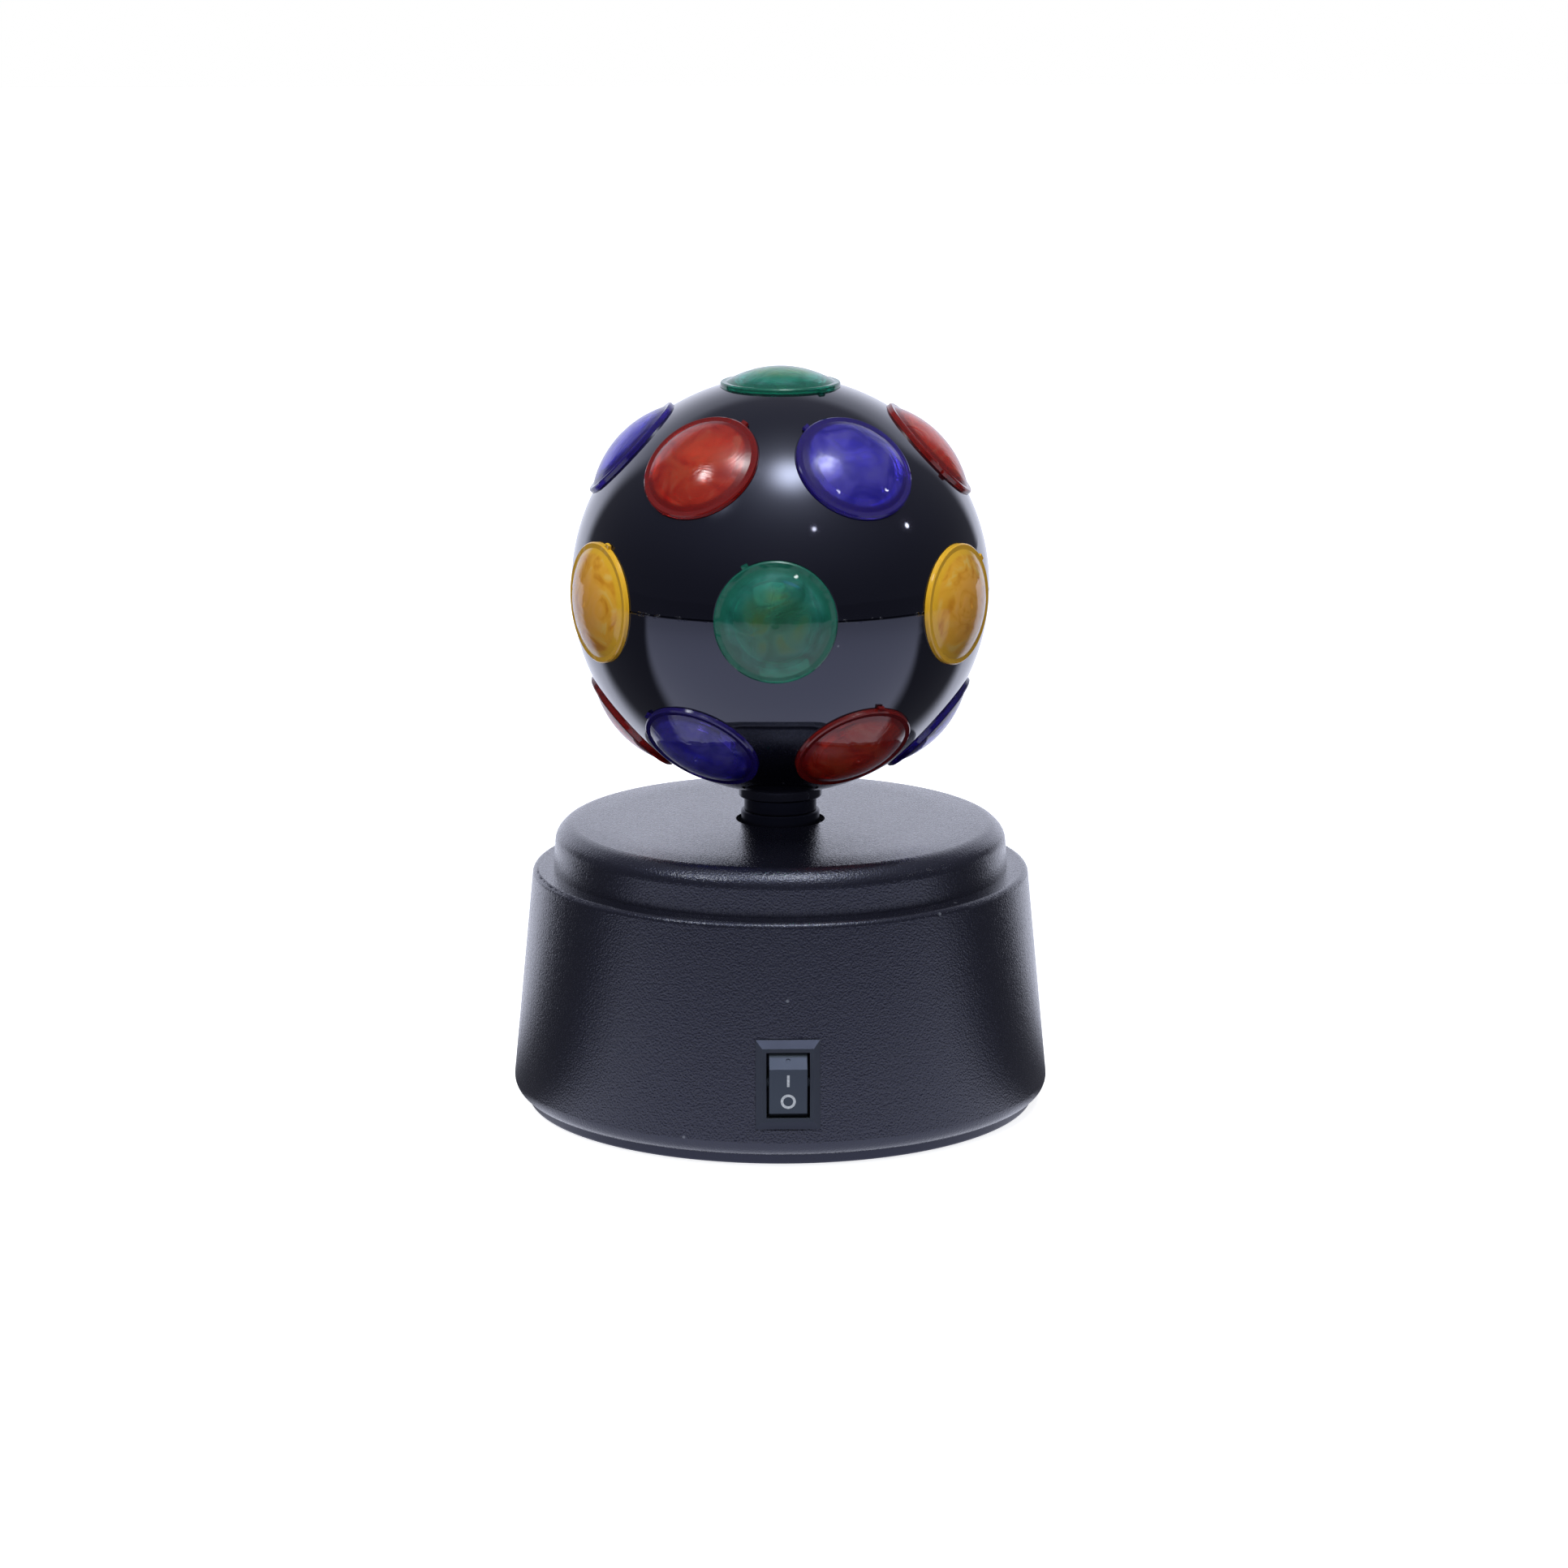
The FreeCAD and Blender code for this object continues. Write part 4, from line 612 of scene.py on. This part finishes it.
class LAMP_OT_finish_works(bpy.types.Operator):
    """Give the motor, gears, battery parts and bulb their finishes"""
    bl_idname = "lamp.finish_works"
    bl_label = "Finish Works"

    def execute(self, context):
        paint_nodes({
            "white_nylon": grained_plastic("White Nylon", (0.72, 0.72, 0.68), 0.4 * MM, 0.004 * MM, 0.4,
                                           NO_TINT),
            "post_steel": metal("Drawn Steel", (0.55, 0.55, 0.56), 0.18, 0.35, (1, 1, 0.05)),
            "motor_steel": metal("Motor Steel", (0.5, 0.5, 0.52), 0.25, 0.4, (1, 0.05, 1)),
            "contact_steel": metal("Contact Steel", (0.62, 0.62, 0.62), 0.12, 0.3, (1, 1, 0.1)),
            "socket_black": polished_plastic("Socket Black", (0.015, 0.015, 0.015), 0.35, FAINT_RELIEF),
            "brass": metal("Brass", (0.75, 0.55, 0.25), 0.15, 0.35, (1, 1, 1)),
            "bulb_glass": clear_glass("Bulb Glass", (0.96, 0.97, 0.97)),
            "filament_wire": metal("Filament Wire", (0.3, 0.3, 0.31), 0.3, 0.5, (1, 1, 1)),
            "cell_sleeve": polished_plastic("Cell Sleeve", (0.03, 0.03, 0.04), 0.22, FAINT_RELIEF),
        })
        return {"FINISHED"}


class LAMP_OT_finish_switch(bpy.types.Operator):
    """Give the rocker switch its satin black"""
    bl_idname = "lamp.finish_switch"
    bl_label = "Finish Switch"

    def execute(self, context):
        paint_nodes({
            "switch_black": polished_plastic("Switch Black", (0.03, 0.034, 0.04), 0.38, FAINT_RELIEF,
                                             edge=0.12 * MM),
            "rocker_black": polished_plastic("Rocker Black", (0.05, 0.06, 0.072), 0.42, FAINT_RELIEF,
                                             edge=0.12 * MM),
        })
        return {"FINISHED"}


def mark_paint():
    """White pad print, a little thin where the pad left less ink."""
    material, tree, place = new_finish("Mark White")
    ink = noise(tree, place, 0.4 * MM, 3.0)
    base = blend_colour(tree, fade(tree, ink, 0.35, 0.7), (0.55, 0.57, 0.6, 1), (0.72, 0.74, 0.78, 1))
    shader = node(tree, "ShaderNodeBsdfPrincipled", Base_Color=base, Roughness=0.45,
                  Normal=bump(tree, ink, FAINT_RELIEF))
    finish_off(tree, shader.outputs[0])
    return material


class LAMP_OT_add_marks(bpy.types.Operator):
    """Print the on and off marks on the rocker"""
    bl_idname = "lamp.add_marks"
    bl_label = "Add Switch Marks"

    def execute(self, context):
        marks = context.scene.lamp_marks
        paint = mark_paint()
        # The marks start a little in front of the rocker and are wrapped back onto its face
        front_y = rocker_box[0].y - 2 * MM
        upright = (math.radians(90), 0, 0)

        bpy.ops.object.select_all(action="DESELECT")
        bpy.ops.mesh.primitive_grid_add(x_subdivisions=2, y_subdivisions=8, size=1,
                                        location=(0, front_y, marks.bar_z), rotation=upright)
        bar = context.object
        bar.scale = (marks.line_width, marks.bar_height, 1)
        laid_on_rocker(bar, marks.print_thickness)
        finish_mark(bar, "mark_on", paint)

        bpy.ops.object.select_all(action="DESELECT")
        bpy.ops.mesh.primitive_circle_add(vertices=48, radius=marks.ring_radius, fill_type="NGON",
                                          location=(0, front_y, marks.ring_z), rotation=upright)
        ring = context.object
        bpy.ops.object.mode_set(mode="EDIT")
        bpy.ops.mesh.select_all(action="SELECT")
        bpy.ops.mesh.inset(thickness=marks.line_width)
        bpy.ops.mesh.delete(type="FACE")
        bpy.ops.object.mode_set(mode="OBJECT")
        laid_on_rocker(ring, marks.print_thickness)
        finish_mark(ring, "mark_off", paint)
        return {"FINISHED"}


# Studio

def heading(azimuth, elevation):
    """Direction from the lamp into the room, by degrees round from the lamp's front and degrees up."""
    turn, lift = math.radians(azimuth), math.radians(elevation)
    return Vector((math.sin(turn) * math.cos(lift), -math.cos(turn) * math.cos(lift), math.sin(lift)))


def room_light(tree, direction, studio):
    """Colour that the surroundings have in a direction: a white wall behind, a dark room in front."""
    # The wall's outline, by the slope of a direction: half width, sideways shift, growth with height, top
    wall_half_width = 0.73
    wall_shift = 0.04
    wall_lean = 0.4
    wall_height = 0.95
    softness = 0.12
    x, y, z = node(tree, "ShaderNodeSeparateXYZ", direction).outputs
    across = calc(tree, "ABSOLUTE", calc(tree, "MULTIPLY_ADD", y, wall_shift, x))
    half = calc(tree, "MULTIPLY_ADD", z, wall_lean, calc(tree, "MULTIPLY", y, wall_half_width))
    beside = calc(tree, "SUBTRACT", half, across)
    below = calc(tree, "SUBTRACT", calc(tree, "MULTIPLY", y, wall_height), z)
    wall = calc(tree, "MULTIPLY", fade(tree, beside, -softness, softness),
                fade(tree, below, -softness, softness))
    room = scaled_colour(tree, toned(ROOM_TINT, studio.room_level)[:3], fade(tree, z, 0.0, 1.0, 0.7, 1.6))
    backdrop = scaled_colour(tree, studio.cool_white[:], fade(tree, z, 0.15, 0.75, 1.0, 0.45))
    return blend_colour(tree, wall, room, backdrop)


def soft_glow(tree, direction, azimuth, elevation, width, strength):
    """Brightness of a round soft lamp in the room, brightest in its middle."""
    facing = node(tree, "ShaderNodeVectorMath", direction, heading(azimuth, elevation),
                  settings={"operation": "DOT_PRODUCT"})
    off = calc(tree, "ARCCOSINE", facing.outputs["Value"])
    fall = calc(tree, "POWER", calc(tree, "DIVIDE", off, math.radians(width)), 2.0)
    return calc(tree, "MULTIPLY", calc(tree, "EXPONENT", calc(tree, "MULTIPLY", fall, -1.0)), strength)


def build_world(studio):
    """White to the camera; the room in every other direction."""
    world = bpy.data.worlds.new("Studio")
    bpy.context.scene.world = world
    world.use_nodes = True
    tree = world.node_tree
    tree.nodes.clear()
    direction = tree.nodes.new("ShaderNodeTexCoord").outputs["Generated"]
    seen = tree.nodes.new("ShaderNodeLightPath").outputs["Is Camera Ray"]
    room = room_light(tree, direction, studio)
    lamps = 0.0
    for azimuth, elevation, width, share in SOFT_LAMPS:
        strength = studio.lamp_power * share
        lamps = calc(tree, "ADD", lamps, soft_glow(tree, direction, azimuth, elevation, width, strength))
    glow = scaled_colour(tree, studio.lamp_colour[:], lamps)
    lit = node(tree, "ShaderNodeVectorMath", room, glow, settings={"operation": "ADD"})
    colour = blend_colour(tree, seen, lit.outputs[0], WHITE)
    light = node(tree, "ShaderNodeBackground", colour, 1.0)
    out = tree.nodes.new("ShaderNodeOutputWorld")
    tree.links.new(light.outputs[0], out.inputs["Surface"])


def table_finish(studio):
    """White table: shaded softly to the camera; in reflections a white sheet with a dark strip each side."""
    # The mirrored sheet: slopes of the dark strips before and behind the lamp, then its reach and the half
    # widths of its soft edges in metres
    front_cut = 0.22
    back_cut = 0.72
    front_reach = 0.85
    softness = 0.015
    back_softness = 0.04
    material, tree, place = new_finish("White Table")
    x, y = node(tree, "ShaderNodeSeparateXYZ", place).outputs[:2]
    side = calc(tree, "ABSOLUTE", x)
    before = calc(tree, "SUBTRACT", calc(tree, "MULTIPLY", y, -1.0), calc(tree, "MULTIPLY", side, front_cut))
    behind = calc(tree, "SUBTRACT", y, calc(tree, "MULTIPLY", side, back_cut))
    away = node(tree, "ShaderNodeVectorMath", place, settings={"operation": "LENGTH"}).outputs["Value"]
    within = fade(tree, away, front_reach + softness, front_reach - softness)
    dimming = fade(tree, away, front_reach, 0.12, 0.45, 1.0)
    front = calc(tree, "MULTIPLY", fade(tree, before, -softness, softness),
                 calc(tree, "MULTIPLY", within, dimming))
    back = fade(tree, behind, -back_softness, back_softness)
    white = calc(tree, "MAXIMUM", front, back)
    dim = toned(ROOM_TINT, studio.room_level * 0.6)
    mirrored = node(tree, "ShaderNodeEmission", blend_colour(tree, white, dim, solid(studio.cool_white)), 1.0)

    paper = blend_colour(tree, noise(tree, place, 0.3), (0.86, 0.86, 0.86, 1), (0.9, 0.9, 0.9, 1))
    shaded = node(tree, "ShaderNodeBsdfDiffuse", paper)
    own = node(tree, "ShaderNodeEmission", WHITE, 0.82)
    lit = node(tree, "ShaderNodeAddShader", shaded.outputs[0], own.outputs[0])
    bounce = node(tree, "ShaderNodeEmission", solid(studio.cool_white), 0.3)

    path = tree.nodes.new("ShaderNodeLightPath")
    sharp = calc(tree, "MAXIMUM", path.outputs["Is Glossy Ray"], path.outputs["Is Transmission Ray"])
    unseen = node(tree, "ShaderNodeMixShader", sharp, bounce.outputs[0], mirrored.outputs[0])
    mixed = node(tree, "ShaderNodeMixShader", path.outputs["Is Camera Ray"], unseen.outputs[0], lit.outputs[0])
    finish_off(tree, mixed.outputs[0])
    return material


def area_light(name, azimuth, elevation, size, power, colour=(1, 1, 1)):
    """Round soft light that faces the ball's middle, by degrees round from the lamp's front and degrees up."""
    away = heading(azimuth, elevation)
    bpy.ops.object.light_add(type="AREA", location=Vector((0, 0, BALL_CENTRE_Z)) + away * LAMP_DISTANCE)
    lamp = bpy.context.object
    lamp.name = name
    lamp.rotation_mode = "QUATERNION"
    lamp.rotation_quaternion = away.to_track_quat("Z", "Y")
    lamp.data.shape = "DISK"
    lamp.data.size = size
    lamp.data.energy = power
    lamp.data.color = colour
    lamp.visible_camera = False
    return lamp


class LAMP_OT_build_studio(bpy.types.Operator):
    """Set the table, backdrop, lights and camera"""
    bl_idname = "lamp.build_studio"
    bl_label = "Build Studio"

    def execute(self, context):
        studio = context.scene.lamp_studio
        build_world(studio)

        bpy.ops.object.select_all(action="DESELECT")
        bpy.ops.mesh.primitive_plane_add(size=TABLE_SIZE, location=(0, 0, 0))
        table = context.object
        table.name = "table"
        table.data.materials.append(table_finish(studio))

        fill = area_light("fill", 15, 68, 1.2, studio.fill_power, studio.lamp_colour)
        front = area_light("front_fill", -12, 24, 1.4, studio.front_power, studio.lamp_colour)
        for lamp in (fill, front):
            lamp.visible_glossy = False
        for name, azimuth, elevation, size, power in SMALL_LAMPS:
            area_light(name, azimuth, elevation, size, power)

        turn = studio.camera_turn
        bpy.ops.object.camera_add(
            location=(studio.camera_distance * math.sin(turn), -studio.camera_distance * math.cos(turn),
                      studio.camera_height),
            rotation=(math.radians(90) - studio.camera_pitch, 0, turn))
        camera = context.object
        camera.data.lens = studio.focal_length
        camera.data.sensor_width = SENSOR_WIDTH
        camera.data.shift_x = (PHOTO_SIDE / 2 - PHOTO_CENTRE_X) / PHOTO_SIDE
        context.scene.camera = camera
        context.scene.view_settings.view_transform = "Standard"
        return {"FINISHED"}


class LAMP_PT_panel(bpy.types.Panel):
    """Lists the lamp's settings and steps"""
    bl_idname = "LAMP_PT_panel"
    bl_label = "Disco Ball Lamp"
    bl_space_type = "VIEW_3D"
    bl_region_type = "UI"
    bl_category = "Disco Ball"

    def draw(self, context):
        scene = context.scene
        for group in (scene.lamp_finish, scene.lamp_marks, scene.lamp_studio):
            box = self.layout.box()
            for key in group.__annotations__:
                box.prop(group, key)
        for operator in STEPS:
            self.layout.operator(operator.bl_idname)


STEPS = (
    LAMP_OT_finish_base, LAMP_OT_finish_ball, LAMP_OT_finish_lenses, LAMP_OT_finish_works,
    LAMP_OT_finish_switch, LAMP_OT_add_marks, LAMP_OT_build_studio,
)
GROUPS = (LampFinishSettings, SwitchMarkSettings, StudioSettings)
CLASSES = GROUPS + STEPS + (LAMP_PT_panel,)


def register():
    for cls in CLASSES:
        bpy.utils.register_class(cls)
    bpy.types.Scene.lamp_finish = PointerProperty(type=LampFinishSettings)
    bpy.types.Scene.lamp_marks = PointerProperty(type=SwitchMarkSettings)
    bpy.types.Scene.lamp_studio = PointerProperty(type=StudioSettings)


def unregister():
    del bpy.types.Scene.lamp_studio
    del bpy.types.Scene.lamp_marks
    del bpy.types.Scene.lamp_finish
    for cls in reversed(CLASSES):
        bpy.utils.unregister_class(cls)


def main():
    register()
    grain_group()
    handling_group()
    edge_group()
    bpy.ops.lamp.finish_base()
    bpy.ops.lamp.finish_ball()
    bpy.ops.lamp.finish_lenses()
    bpy.ops.lamp.finish_works()
    bpy.ops.lamp.finish_switch()
    bpy.ops.lamp.add_marks()
    bpy.ops.lamp.build_studio()


if __name__ == "__main__":
    main()
